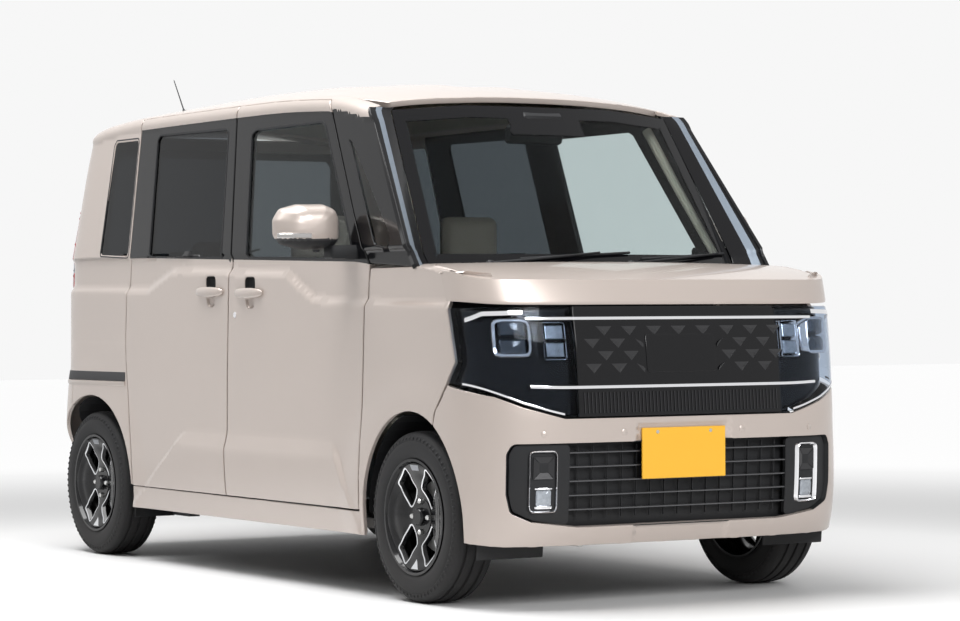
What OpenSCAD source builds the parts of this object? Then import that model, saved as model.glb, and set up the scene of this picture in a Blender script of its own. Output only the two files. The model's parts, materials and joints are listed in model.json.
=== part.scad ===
// Tall-wagon kei car with sliding rear doors.
// Frame: +X forward, +Y left, +Z up, origin on the ground under the middle of the car.

/* [Overall] */
// Overall length, bumper to bumper
car_length = 3395; // [2800:5:4200]
// Overall width without the door mirrors
car_width = 1475; // [1200:5:1800]
// Height of the roof crown above the ground
car_height = 1785; // [1450:5:2150]

/* [Wheels] */
// Outer diameter of a tyre
tyre_diameter = 562.5; // [460:0.5:680]
// Section width of a tyre
tyre_width = 165; // [135:1:200]
// Bead seat diameter of a rim
rim_diameter = 381; // [310:1:460]
// Radius of the spindle that a wheel hub turns on
spindle_radius = 16; // [12:0.5:20]
// Radial running clearance of pins and spindles
running_clearance = 0.08; // [0.02:0.01:0.1]

/* [Doors and glass] */
// Thickness of the lower part of a door
door_thickness = 84; // [60:1:110]
// Thickness of a door's window frame
sash_thickness = 38; // [25:1:50]
// Gap between a door and its neighbours
shut_gap = 7; // [6:0.5:9]
// Thickness of window glass
glass_thickness = 5; // [3:0.5:8]
// Radius of the door, bonnet and tailgate hinge pins
hinge_pin_radius = 6; // [4:0.5:8]

/* [Hidden] */

// Sizes the measured shape was drawn at; every position is scaled from these.
base_length = 3395;
base_width = 1475;
base_height = 1785;
function sx(v) = v * car_length / base_length;
function sy(v) = v * car_width / base_width;
function sz(v) = v * car_height / base_height;
function pt(x, y, z) = [sx(x), sy(y), sz(z)];

$fn = 48;
far = 2600;
tyre_r = tyre_diameter / 2;
rim_r = rim_diameter / 2;
axle_f = 1196;
axle_r = -1299;
wheel_y = 650;
kingpin_y = 586;
arch_gap = 66;
seat_gap = 0.3;
// Inboard reach of the steered front tyre
steer_in = 415;

// ---------------------------------------------------------------- body surface
nose_x0 = 1330;
nose_n = 4.2;
tail_x0 = -1330;
tail_n = 5;
body_half = 737.5;
nose_profile = [[150, 1640], [200, 1662], [280, 1684], [400, 1694], [500, 1697.5], [600, 1697],
  [700, 1690], [800, 1681], [900, 1665], [985, 1645], [1054, 1621], [1085, 1606], [1120, 1590]];
tail_profile = [[150, 1640], [200, 1655], [300, 1684], [420, 1695], [520, 1697.5], [640, 1695],
  [700, 1684], [730, 1658], [900, 1658], [1100, 1654], [1300, 1642], [1500, 1622], [1600, 1600],
  [1700, 1560], [1800, 1500]];
roof_crown = [[-1640, 1690], [-1500, 1728], [-1300, 1752], [-900, 1776], [-400, 1785], [0, 1782],
  [300, 1768], [600, 1735], [810, 1692], [900, 1670]];
roof_edge = [[-1640, 1600], [-1500, 1660], [-1300, 1690], [-1000, 1704], [0, 1708], [500, 1693],
  [760, 1650], [900, 1600]];

function half_w(z) =
  z < 420 ? body_half - 14 * pow((420 - z) / 240, 2)
  : z < 1040 ? body_half
  : z < 1160 ? body_half - 9.6 * pow((z - 1040) / 120, 2)
  : body_half - 9.6 - 0.16 * (z - 1160);
function end_shape(u, n) = pow(max(0, 1 - pow(min(1, max(0, u)), n)), 1 / n);
function side_y(x, z) = half_w(z) * (x > 0
  ? end_shape((x - nose_x0) / (lookup(z, nose_profile) - nose_x0), nose_n)
  : end_shape((tail_x0 - x) / (lookup(z, tail_profile) + tail_x0), tail_n));
function nose_x(y, z) = nose_x0
  + (lookup(z, nose_profile) - nose_x0) * end_shape(abs(y) / half_w(z), nose_n);
function tail_x(y, z) = tail_x0
  - (lookup(z, tail_profile) + tail_x0) * end_shape(abs(y) / half_w(z), tail_n);
function roof_z(x, y) = lookup(x, roof_crown)
  - (lookup(x, roof_crown) - lookup(x, roof_edge)) * pow(abs(y) / 640, 2.6);
function screen_x(y, z) = 1115 - 0.668 * (z - 1104) + 92 * (1 - pow(abs(y) / 640, 2));
function belt_mix(z) = min(1, max(0, (z - 1080) / 80));
function door_t(z) = door_thickness * (1 - belt_mix(z)) + sash_thickness * belt_mix(z);

// ---------------------------------------------------------------- building blocks
function span(a, b, n) = [for (i = [0 : n]) a + (b - a) * i / n];
function gi(w, i, j) = i * w + j;

// Closed slab between two grids of points; row direction x column direction points outwards.
module slab(a, b) {
  nu = len(a) - 1;
  w = len(a[0]);
  nv = w - 1;
  n = len(a) * w;
  top = [for (i = [0 : nu - 1]) for (j = [0 : nv - 1]) each [
    [gi(w, i, j), gi(w, i, j + 1), gi(w, i + 1, j + 1)],
    [gi(w, i, j), gi(w, i + 1, j + 1), gi(w, i + 1, j)]]];
  bottom = [for (f = top) [f[2] + n, f[1] + n, f[0] + n]];
  rim = concat(
    [for (j = [0 : nv - 1]) [gi(w, 0, j + 1), gi(w, 0, j)]],
    [for (j = [0 : nv - 1]) [gi(w, nu, j), gi(w, nu, j + 1)]],
    [for (i = [0 : nu - 1]) [gi(w, i, 0), gi(w, i + 1, 0)]],
    [for (i = [0 : nu - 1]) [gi(w, i + 1, nv), gi(w, i, nv)]]);
  walls = [for (e = rim) each [[e[0], e[1], e[1] + n], [e[0], e[1] + n, e[0] + n]]];
  polyhedron(points = concat([for (r = a) each r], [for (r = b) each r]),
    faces = concat(top, bottom, walls), convexity = 6);
}

// Right-hand body side between depths d0 and d1 inside the outer surface.
module side_slab(xs, zs, d0, d1, k0 = 0, k1 = 0) {
  slab([for (x = xs) [for (z = zs) pt(x, -side_y(x, z) + d0 + k0 * door_t(z), z)]],
    [for (x = xs) [for (z = zs) pt(x, -side_y(x, z) + d1 + k1 * door_t(z), z)]]);
}

module prism_y(pts, y0 = -far, y1 = far) {
  translate([0, sy(y1), 0]) rotate([90, 0, 0]) linear_extrude(sy(y1 - y0))
    polygon([for (p = pts) [sx(p[0]), sz(p[1])]]);
}
module prism_y_grown(pts, grow, y0 = -far, y1 = far) {
  translate([0, sy(y1), 0]) rotate([90, 0, 0]) linear_extrude(sy(y1 - y0))
    offset(delta = grow) polygon([for (p = pts) [sx(p[0]), sz(p[1])]]);
}
module prism_x(pts, x0 = -far, x1 = far) {
  translate([sx(x0), 0, 0]) rotate([90, 0, 90]) linear_extrude(sx(x1 - x0))
    polygon([for (p = pts) [sy(p[0]), sz(p[1])]]);
}
module prism_z(pts, z0 = -far, z1 = far) {
  translate([0, 0, sz(z0)]) linear_extrude(sz(z1 - z0))
    polygon([for (p = pts) [sx(p[0]), sy(p[1])]]);
}
module bx(x0, x1, y0, y1, z0, z1) {
  translate([sx(x0), sy(y0), sz(z0)]) cube([sx(x1 - x0), sy(y1 - y0), sz(z1 - z0)]);
}
// Upright bar whose side view is a leaning rectangle.
module leaning(x0, x1, y0, y1, z0, z1, lean) {
  prism_y([[x0, z0], [x1, z0], [x1 + lean, z1], [x0 + lean, z1]], y0, y1);
}
module both() {
  children();
  mirror([0, 1, 0]) children();
}
module rod(a, b, r) {
  v = b - a;
  len_v = norm(v);
  translate(a) rotate([0, acos(v[2] / len_v), atan2(v[1], v[0])]) cylinder(h = len_v, r = r);
}

// Wheel-arch opening, wider than it is high, centred on an axle.
// The front one is narrower; its liner is wider inside, for the steered wheel.
function arch_pts(ax, grow) = let (wide = ax > 0 ? (grow < 0 ? 42 : 34) : 82)
  [for (a = [0 : 9 : 351])
    [sx(ax) + (tyre_r + wide + grow) * cos(a), tyre_r + (tyre_r + arch_gap + grow) * sin(a)]];
module arch_cut(ax, grow, y0, y1) {
  translate([0, sy(y1), 0]) rotate([90, 0, 0]) linear_extrude(sy(y1 - y0))
    polygon(arch_pts(ax, grow));
}

// ---------------------------------------------------------------- outlines, right side (x, z)
sill_top = 286;
front_door_outline = [[-130, sill_top], [-122, 713], [-108, 1060], [-102, 1149], [-207, 1655],
  [-190, 1702], [487, 1690], [527, 1620], [766, 1281], [895, 1112], [889, 1040], [866, 600],
  [850, sill_top]];
sliding_door_outline = [[-138, sill_top], [-130, 713], [-116, 1060], [-110, 1149], [-215, 1655],
  [-198, 1702], [-980, 1702], [-1020, 1642], [-968, 1155], [-985, 900], [-989, 824], [-978, 700],
  [-955, 560], [-930, 430], [-920, sill_top]];
front_window = [[14, 1152], [784, 1136], [806, 1140], [478, 1600], [452, 1612], [-40, 1610],
  [-72, 1595]];
sliding_window = [[-796, 1168], [-188, 1154], [-268, 1612], [-284, 1624], [-846, 1629],
  [-862, 1612]];
rear_quarter_window = [[-1246, 1176], [-985, 1165], [-1033, 1616], [-1044, 1628], [-1240, 1628],
  [-1254, 1610]];
front_quarter_window = [[936, 1178], [1032, 1166], [1036, 1200], [690, 1530], [662, 1545]];
front_aperture = [[-60, 330], [720, 330], [780, 620], [790, 1060], [700, 1240], [420, 1610],
  [-100, 1612], [-30, 1140], [-48, 700]];
rear_aperture = [[-200, 330], [-860, 330], [-880, 560], [-910, 700], [-915, 1100], [-930, 1610],
  [-270, 1612], [-180, 1140], [-196, 700]];
side_outline = [[-1640, 250], [-1640, 1100], [-1600, 1500], [-1560, 1640], [-1480, 1690],
  [-1000, 1700], [0, 1702], [500, 1688], [760, 1652], [800, 1630], [1212, 1094], [1212, 1060],
  [1000, 1060], [1000, 200], [-1240, 200]];

// Front door hinge axis and the heights of its two leaves
hinge_x = 826;
hinge_y = 712;
hinge_zs = [430, 900];
leaf_t = 16;
// Forward of this the door is thin, so that its front edge can swing in
lead_x = 766;
lead_t = 36;

// ---------------------------------------------------------------- body shell, root
module floor_pan() {
  color("dimgray") difference() {
    union() {
      bx(-1560, 900, -589.7, 589.7, 210, 244);
      bx(-120, 420, -589.7, 589.7, 244, 400);
      bx(-1560, -1040, -480, 480, 244, 420);
      bx(880, 914, -414, 414, 210, 420);
    }
    bx(-1500, -1100, -440, 440, 205, 396);
    bx(-96, 396, -550, 550, 205, 376);
    both() arch_cut(axle_r, 4, -760, -485);
    both() arch_cut(axle_f, 4, -760, -steer_in);
  }
}

module side_frame() {
  xs = concat(span(-1640, -1330, 3), span(-1200, 1000, 10), [1110, 1212]);
  zs = concat(span(200, 1000, 4), [1060, 1110, 1200], span(1330, 1700, 3));
  difference() {
    intersection() {
      side_slab(xs, zs, 0, 46, 0, 1);
      prism_y(side_outline);
    }
    // pockets the doors close into
    intersection() {
      side_slab(span(-1090, 980, 9), zs, -40, shut_gap, 0, 1);
      union() {
        prism_y_grown(front_door_outline, shut_gap);
        prism_y_grown(sliding_door_outline, shut_gap);
        prism_y([[-145, 300], [-95, 300], [-95, 1140], [-180, 1740], [-230, 1740]]);
        prism_y([[-1000, 1690], [500, 1690], [500, 1760], [-1000, 1760]]);
      }
    }
    prism_y(front_aperture);
    prism_y(rear_aperture);
    // room for the front edge of the opening door, and the fender's space
    bx(hinge_x - 14, 1040, -760, -570, sill_top - 6, 1118);
    bx(852, 1040, -760, -660, 190, 1098.3);
    bx(1030, 1260, -760, -710.8, 190, 1098.3);
    intersection() {
      side_slab([800, 860, 920], [1100, 1160, 1240], 3, 160);
      bx(hinge_x - 14, hinge_x + 82, -760, -560, 1110, 1224);
    }
    roof_space();
    prism_x(gate_space, -1800, roof_rear);
    // the door's corner turns in place beside its hinge axis
    translate(pt(hinge_x, -hinge_y, 1190)) cylinder(h = sz(32), r = 16);
    bx(1150, 1260, -660, -560, 1000, 1200);
    arch_cut(axle_r, 0, -760, -520);
    arch_cut(axle_f, 0, -760, -520);
    prism_y(rear_quarter_window);
    prism_y(front_quarter_window);
    // tail lamp seats
    bx(-1720, -1560, -760, -600, 1050, 1424);
    bx(-1720, -1470, -760, 0, 190, 700);
  }
  // hinge pillar and hinges of the front door
  bx(824, 868, -640, -590, 230, 1124);
  bx(-935, 868, -625, -590, 205, 280);
  for (z = hinge_zs) door_hinge_leaf(z);
}
module door_hinge_leaf(z) {
  translate([sx(hinge_x) - 11, -sy(hinge_y), sz(z)]) cube([22, sy(hinge_y - 610), leaf_t]);
  translate(pt(hinge_x, -hinge_y, z)) cylinder(h = leaf_t, r = 11);
  translate(pt(hinge_x, -hinge_y, z)) cylinder(h = 40, r = hinge_pin_radius);
}
module side_frame_right() { color("tan") side_frame(); }
module side_frame_left() { color("tan") mirror([0, 1, 0]) side_frame(); }

roof_half = 596;
roof_t = 34;
roof_rear = -1488;
// Gap between roof sheet depths d0 and d1 under the roof surface.
module roof_slab(xs, ys, d0, d1) {
  slab([for (x = xs) [for (y = ys) pt(x, y, roof_z(x, y) - d0)]],
    [for (x = xs) [for (y = ys) pt(x, y, roof_z(x, y) - d1)]]);
}
module roof_panel() {
  ys = [-roof_half, -520, -360, -180, 0, 180, 360, 520, roof_half];
  xs = concat([-1500, -1380], span(-1200, 600, 8), [700, 786]);
  color("tan") {
    difference() {
      intersection() {
        roof_slab(xs, ys, 0, roof_t);
        prism_z([[roof_rear, -roof_half], [640, -roof_half], [742, -560], [782, -300], [790, 0],
          [782, 300], [742, 560], [640, roof_half], [roof_rear, roof_half]]);
      }
      for (s = [-1, 1]) gate_hinge_slot(s);
    }
    for (s = [-1, 1]) translate([sx(gate_hinge_x), s * sy(gate_hinge_y) - 24, sz(gate_hinge_z)])
      rotate([-90, 0, 0]) cylinder(h = 48, r = hinge_pin_radius);
  }
}
module gate_hinge_slot(s) {
  translate([sx(gate_hinge_x) - 80, s * sy(gate_hinge_y) - 16, sz(1500)]) cube([106, 32, sz(400)]);
}
// Space of the roof panel, cut out of the side frames
module roof_space() {
  roof_slab(concat([-1520, -1380], span(-1200, 600, 8), [700, 800]),
    [-roof_half - seat_gap, -520, -480], -80, roof_t + 1);
}

module firewall() {
  color("dimgray") {
    bx(1000, 1030, -400, 400, 260, 650);
    bx(1000, 1030, -600, 600, 640, 1040);
    bx(1000, 1250, -600, 600, 1012, 1032);
    bx(1000, 1040, -600, 600, 1032, 1072);
    difference() {
      prism_z(concat([for (y = span(-606, 606, 8)) [screen_x(y, 1090) - 40, y]],
        [for (y = span(606, -606, 8)) [bonnet_rear(y) - 8, y]]), 1068, 1082);
      for (s = [-1, 1]) translate([sx(1150), s * sy(bonnet_hinge_y) - 26, sz(1050)])
        cube([sx(140), 52, sz(60)]);
    }
    for (y = [-470, 0, 470]) bx(1140, 1160, y - 20, y + 20, 1030, 1070);
    bx(914.3, 1002, -400, 400, 400, 424);
    for (s = [-1, 1]) bonnet_hinge_leaf(s);
  }
}
bonnet_hinge_x = 1180;
bonnet_hinge_z = 1090;
bonnet_hinge_y = 520;
module bonnet_hinge_leaf(s) {
  for (y = [-20, 12]) translate([sx(bonnet_hinge_x), s * sy(bonnet_hinge_y) + y, sz(bonnet_hinge_z)])
    rotate([-90, 0, 0]) cylinder(h = 8, r = 12);
  for (y = [-20, 12]) translate([sx(bonnet_hinge_x) - 12, s * sy(bonnet_hinge_y) + y,
    sz(1020)]) cube([24, 8, sz(bonnet_hinge_z - 1020)]);
  translate([sx(bonnet_hinge_x), s * sy(bonnet_hinge_y) - 20, sz(bonnet_hinge_z)])
    rotate([-90, 0, 0]) cylinder(h = 40, r = hinge_pin_radius);
}

fender_outline = [[903.5, 1096], [896.5, 1040], [875, 600], [859, sill_top], [859, 204], [990, 204],
  [1000, 500], [1354, 631], [1418, 726], [1466, 790], [1417, 984], [1377, 1078], [1300, 1092], [1212, 1098]];
module fender_right() {
  xs = concat(span(850, 1250, 4), [1330, 1400, 1470]);
  zs = concat(span(200, 1000, 7), [1050, 1098]);
  difference() {
    intersection() {
      side_slab(xs, zs, 0, 24);
      prism_y(fender_outline);
    }
    arch_cut(axle_f, 0, -760, -560);
    // thin trailing edge, so the opening door's front edge can swing in
    intersection() {
      side_slab(span(840, 960, 2), zs, 3, 60);
      bx(830, hinge_x + 112, -760, -600, 190, 1085);
    }
  }
}
module fenders() {
  color("tan") both() fender_right();
}

module nose_band(zs, t, half_span, n) {
  fs = span(-half_span, half_span, n);
  p = 2 / nose_n;
  slab([for (f = fs) [for (z = zs) pt(
      nose_x0 + (lookup(z, nose_profile) - nose_x0) * pow(cos(f), p),
      half_w(z) * sign(f) * pow(abs(sin(f)), p), z)]],
    [for (f = fs) [for (z = zs) pt(
      nose_x0 + (lookup(z, nose_profile) - nose_x0 - t) * pow(cos(f), p),
      (half_w(z) - t) * sign(f) * pow(abs(sin(f)), p), z)]]);
}
module tail_band(zs, t, half_span, n) {
  fs = span(half_span, -half_span, n);
  p = 2 / tail_n;
  slab([for (f = fs) [for (z = zs) pt(
      tail_x0 - (lookup(z, tail_profile) + tail_x0) * pow(cos(f), p),
      half_w(z) * sign(f) * pow(abs(sin(f)), p), z)]],
    [for (f = fs) [for (z = zs) pt(
      tail_x0 - (lookup(z, tail_profile) + tail_x0 - t) * pow(cos(f), p),
      (half_w(z) - t) * sign(f) * pow(abs(sin(f)), p), z)]]);
}

lamp_bottom = [[452, 612], [501, 625], [590, 650], [670, 684], [738, 716]];
function flip_y(pts) = [for (i = [len(pts) - 1 : -1 : 0]) [-pts[i][0], pts[i][1]]];
panel_lower = concat(flip_y(lamp_bottom), lamp_bottom);

module front_bumper() {
  // ribs that carry the bumper on the radiator support
  color("tan") for (s = [-1, 1]) bx(1592.3, 1660, s * 320 - 20, s * 320 + 20, 560, 600);
  color("tan") difference() {
    intersection() {
      nose_band(span(200, 720, 5), 45, 90, 22);
      prism_x(concat([[-760, 190]], [for (p = panel_lower) [p[0] * (abs(p[0]) > 700 ? 1.03 : 1),
        p[1] - seat_gap]], [[760, 190]]));
      prism_y([[1700, 190], [1700, 760], [1478, 790], [1424, 722], [1361, 628], [1331, 500],
        [1331, 190]]);
    }
    arch_cut(axle_f, 0, -760, -500);
    arch_cut(axle_f, 0, 500, 760);
    prism_x([[-404, 262], [-600, 300], [-640, 420], [-645, 500], [-614, 530], [614, 530],
      [645, 500], [640, 420], [600, 300], [404, 262]], 1500, 1750);
    prism_x([[-604, 310], [-604, 505], [604, 505], [604, 310]], 1400, 1700);
    translate([sx(1690), -plate_w / 2 - 0.5, sz(front_plate_z) - plate_h / 2 - 0.5])
      cube([60, plate_w + 1, plate_h + 1]);
  }
}

module grille_panel() {
  color("black") intersection() {
    nose_band([610, 700, 800, 900, 970], 30, 90, 22);
    prism_x(concat([for (p = panel_lower) if (abs(p[0]) < 460) p], [[402, 700], [402, 970],
      [-402, 970], [-402, 700]]), 1500, 1750);
  }
}
module headlamps() {
  color("black") for (s = [-1, 1]) bx(1592.3, 1625, s * 455 - 20, s * 455 + 20, 645, 685);
  color("black") intersection() {
    nose_band([610, 700, 790, 900, 972], 60, 90, 22);
    union() for (s = [-1, 1]) prism_x([[s * 404.5, 702], [s * 453, 614], [s * 501, 627],
      [s * 590, 652], [s * 670, 686], [s * 760, 722], [s * 760, 972], [s * 404.5, 972]]);
    prism_y([[1424, 972], [1472, 788], [1430, 726], [1900, 560], [1900, 972]]);
  }
}
module lower_grille() {
  color("dimgray") {
    intersection() {
      slab([for (y = span(-634, 634, 12)) [for (z = [268, 400, 524]) pt(nose_x(y, z) - 32, y, z)]],
        [for (y = span(-634, 634, 12)) [for (z = [268, 400, 524]) pt(nose_x(y, z) - 44, y, z)]]);
      prism_x([[-404, 268], [-596, 304], [-634, 420], [-638, 498], [-612, 524], [612, 524],
        [638, 498], [634, 420], [596, 304], [404, 268]]);
    }
    for (z = [310, 352, 394, 436, 478]) intersection() {
      slab([for (y = span(-634, 634, 12)) [for (k = [z - 5, z + 5]) pt(nose_x(y, z) - 8, y, k)]],
        [for (y = span(-634, 634, 12)) [for (k = [z - 5, z + 5]) pt(nose_x(y, z) - 40, y, k)]]);
      prism_x([[-404, 268], [-460, 280], [-470, 524], [470, 524], [460, 280], [404, 268]]);
    }
    for (y = [-120, 120]) bx(1660, 1690, y - 12, y + 12, 400, 524);
  }
}
plate_w = 330;
plate_h = 165;
plate_bolt_x = 210;
plate_bolt_r = 3.5;
front_plate_z = 492;
rear_plate_z = 430;
module plate(x0, z, t) {
  difference() {
    translate([sx(x0), -plate_w / 2, sz(z) - plate_h / 2]) cube([t, plate_w, plate_h]);
    for (s = [-1, 1]) translate([sx(x0) - 1, s * plate_bolt_x / 2, sz(z) + plate_h / 2 - 14])
      rotate([0, 90, 0]) cylinder(h = t + 2, r = plate_bolt_r);
  }
}
module number_plates() {
  color("gold") {
    plate(1690.3, front_plate_z, sx(7.2));
    plate(-1697.5, rear_plate_z, sx(7.2));
  }
}

// ---------------------------------------------------------------- glass, root
module windscreen() {
  zs = [1098, 1200, 1310, 1420, 1530, 1640, 1700];
  ys = [-640, -560, -440, -300, -150, 0, 150, 300, 440, 560, 640];
  color("lightblue", 0.4) intersection() {
    slab([for (y = ys) [for (z = zs) pt(screen_x(y, z), y, z)]],
      [for (y = ys) [for (z = zs) pt(screen_x(y, z) - 8, y, z)]]);
    prism_x([[-617, 1102], [-623, 1140], [-563, 1640], [-300, 1662], [0, 1668], [300, 1662],
      [563, 1640], [623, 1140], [617, 1102]], 600, 1400);
  }
}
module side_glass(pts, xs, zs, depth) {
  intersection() {
    side_slab(xs, zs, depth, depth + glass_thickness);
    prism_y_grown(pts, -seat_gap);
  }
}
module quarter_glass() {
  color("black", 0.5) both() {
    side_glass(rear_quarter_window, span(-1280, -940, 3), span(1150, 1640, 4), 10);
    side_glass(front_quarter_window, span(640, 1060, 3), span(1150, 1560, 4), 10);
  }
}

// ---------------------------------------------------------------- sliding doors, root
module sliding_door_right() {
  difference() {
    intersection() {
      side_slab(concat(span(-1040, -110, 8)), concat(span(280, 1000, 5), [1080, 1120, 1160],
        span(1280, 1705, 4)), 0, 0, 0, 1);
      prism_y(sliding_door_outline);
    }
    prism_y(sliding_window);
    arch_cut(axle_r, 6, -760, -520);
  }
}
module sliding_doors() {
  color("tan") both() sliding_door_right();
}
module sliding_door_glass() {
  color("black", 0.5) both()
    side_glass(sliding_window, span(-880, -170, 5), span(1140, 1640, 4), 12);
}

// ---------------------------------------------------------------- rear end
module rear_bumper() {
  color("tan") difference() {
    intersection() {
      tail_band(span(200, 680, 5), 50, 86, 18);
      prism_y([[-1800, 190], [-1800, 690], [-1478, 690], [-1478, 190]]);
    }
    arch_cut(axle_r, 0, -760, -500);
    arch_cut(axle_r, 0, 500, 760);
    translate([sx(-1690) - 60, -plate_w / 2 - 8, sz(rear_plate_z) - plate_h / 2 - 8])
      cube([60, plate_w + 16, plate_h + 16]);
  }
}
module tail_lamps() {
  color("red") intersection() {
    tail_band([1050.3, 1150, 1240, 1330, 1423.7], 50, 86, 18);
    union() for (s = [-1, 1]) prism_x([[s * 606, 1050], [s * 760, 1050], [s * 760, 1424],
      [s * 606, 1424]]);
    prism_y([[-1800, 1000], [-1800, 1500], [-1560.3, 1500], [-1560.3, 1000]]);
  }
}
gate_hinge_x = -1450;
gate_hinge_z = 1692;
gate_hinge_y = 420;
gate_relief = 59.3;
gate_outline = [[-600, 700], [-600, 1430], [-588, 1560], [-574, 1618], [-540, 1640], [-480, 1656],
  [-300, 1676], [300, 1676], [480, 1656], [540, 1640], [574, 1618], [588, 1560], [600, 1430],
  [600, 700]];
gate_space = [[-608, 690], [-608, 1430], [-596, 1560], [-586, 1640], [-586, 1760], [0, 1760],
  [0, 690]];
gate_lip = [[-1496, -576], [-1524, -572], [-1552, -556], [-1580, -520], [-1600, -450], [-1612, -300],
  [-1612, 300], [-1600, 450], [-1580, 520], [-1552, 556], [-1524, 572], [-1496, 576]];
module tailgate() {
  zs = concat(span(700, 1600, 8), [1650, 1690]);
  ys = span(-602, 602, 10);
  color("tan") {
    difference() {
      union() {
        intersection() {
          slab([for (z = zs) [for (y = ys) pt(tail_x(y, z), y, z)]],
            [for (z = zs) [for (y = ys) pt(tail_x(y, z) + 60, y, z)]]);
          prism_x(gate_outline, -1800, -1496);
        }
        intersection() {
          roof_slab([-1620, -1580, -1540, -1490], span(-580, 580, 8), 0, 48);
          prism_z(gate_lip);
        }
      }
      prism_x(tailgate_window, -1800, -1400);
      // the front edge of the lip is hollowed round the hinge axis
      translate([sx(gate_hinge_x), -sy(640), sz(gate_hinge_z)]) rotate([-90, 0, 0])
        cylinder(h = sy(1280), r = gate_relief);
    }
    for (s = [-1, 1]) gate_ear(s);
  }
}
tailgate_window = [[-520, 1130], [-500, 1560], [-470, 1590], [470, 1590], [500, 1560], [520, 1130]];
module gate_ear(s) {
  x = sx(gate_hinge_x);
  z = sz(gate_hinge_z);
  difference() {
    translate([0, s * sy(gate_hinge_y) + 10, 0]) rotate([90, 0, 0]) linear_extrude(20)
      polygon([[x + 10, z - 10], [x + 10, z + 8], [x - 4, z + 12], [x - 56, z + 4], [x - 84, z - 6],
        [x - 84, z - 34], [x - 58, z - 28], [x - 30, z - 14]]);
    translate([x, s * sy(gate_hinge_y) - 40, z]) rotate([-90, 0, 0])
      cylinder(h = 80, r = hinge_pin_radius + running_clearance);
  }
}
module tailgate_glass() {
  zs = span(1120, 1600, 4);
  ys = span(-530, 530, 8);
  color("black", 0.5) intersection() {
    slab([for (z = zs) [for (y = ys) pt(tail_x(y, z) + 6, y, z)]],
      [for (z = zs) [for (y = ys) pt(tail_x(y, z) + 12, y, z)]]);
    prism_x([for (p = tailgate_window) [p[0] * 0.999, p[1] + (p[1] < 1300 ? 0.4 : -0.4)]],
      -1800, -1400);
  }
}

// ---------------------------------------------------------------- bonnet
bonnet_bottom = 978;
function crease_z(f) = 1054 + 30 * pow(abs(sin(f)), 12);
function bonnet_rear(y) = 1262 - 62 * pow(abs(y) / 640, 2);
// Profile station k: 0 to 2 up the front face, 3 to 8 back along the top; d is the depth inside.
function bonnet_pt(f, k, d) =
  let (p = 2 / nose_n, zc = crease_z(f), z = k < 3 ? bonnet_bottom + (zc - bonnet_bottom) * k / 2 : zc,
    a = lookup(z, nose_profile) - nose_x0 - d, b = body_half - d,
    x = nose_x0 + a * pow(cos(f), p), y = b * sign(f) * pow(abs(sin(f)), p),
    t = max(0, (k - 2) / 6), yr = y * (1 - 0.04 * t), xr = x + (bonnet_rear(yr) - x) * t,
    top = 1117 - 8 * pow(abs(yr) / 700, 2))
  pt(xr, yr, (k < 3 ? z : z + (top - z) * (1 - pow(1 - t, 1.8))) - (k < 2 ? 0 : d));
module bonnet() {
  fs = span(-89, 89, 22);
  ks = [0 : 8];
  color("tan") {
    intersection() {
      slab([for (f = fs) [for (k = ks) bonnet_pt(f, k, 0)]],
        [for (f = fs) [for (k = ks) bonnet_pt(f, k, 20)]]);
      prism_y([[1150, 1200], [1150, 1030], [1399, 1030], [1423, 970], [1720, 970], [1720, 1200]]);
      union() {
        prism_z([[1100, -630], [1225, -636], [1300, -706], [1800, -706], [1800, 706], [1300, 706],
          [1225, 636], [1100, 630]]);
        // the front corners close against the fenders' sloping edges
        prism_y([[1377 + shut_gap + 1, 1200], [1377 + shut_gap + 1, 1078],
          [1422 + shut_gap + 1, 970], [1800, 970], [1800, 1200]]);
      }
    }
    for (s = [-1, 1]) bonnet_ear(s);
  }
}
module bonnet_ear(s) {
  difference() {
    translate([0, s * sy(bonnet_hinge_y) + 11, 0]) rotate([90, 0, 0]) linear_extrude(22)
      polygon([[sx(bonnet_hinge_x) - 9, sz(bonnet_hinge_z) - 11], [sx(1290), sz(1080)],
        [sx(1290), sz(1100)], [sx(1236), sz(1100)],
        [sx(bonnet_hinge_x) - 9, sz(bonnet_hinge_z) + 10]]);
    translate([sx(bonnet_hinge_x), s * sy(bonnet_hinge_y) - 40, sz(bonnet_hinge_z)])
      rotate([-90, 0, 0]) cylinder(h = 80, r = hinge_pin_radius + running_clearance);
  }
}

// ---------------------------------------------------------------- front doors
module front_door() {
  difference() {
    intersection() {
      side_slab(span(-220, 910, 9), concat(span(280, 1000, 5), [1080, 1120, 1160],
        span(1280, 1705, 4)), 0, 0, 0, 1);
      prism_y(front_door_outline);
    }
    prism_y(front_window);
    // the inner rear edge is set forward and the front edge is thin, for the swing
    prism_y([[-240, 280], [-104, 280], [-96, 713], [-78, 1149], [-180, 1655], [-170, 1720],
      [-240, 1720]], -body_half + 30, -560);
    bx(lead_x, 940, -body_half + lead_t, -560, 270, 1290);
    for (z = hinge_zs) {
      translate([sx(hinge_x) - 16, -sy(hinge_y) - 13, sz(z) - 4]) cube([120, 200, leaf_t + 8]);
      translate(pt(hinge_x, -hinge_y, z)) cylinder(h = 44, r = hinge_pin_radius + running_clearance);
    }
  }
}
module front_door_glass() {
  side_glass(front_window, span(-90, 820, 6), span(1120, 1630, 4), 12);
}
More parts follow.
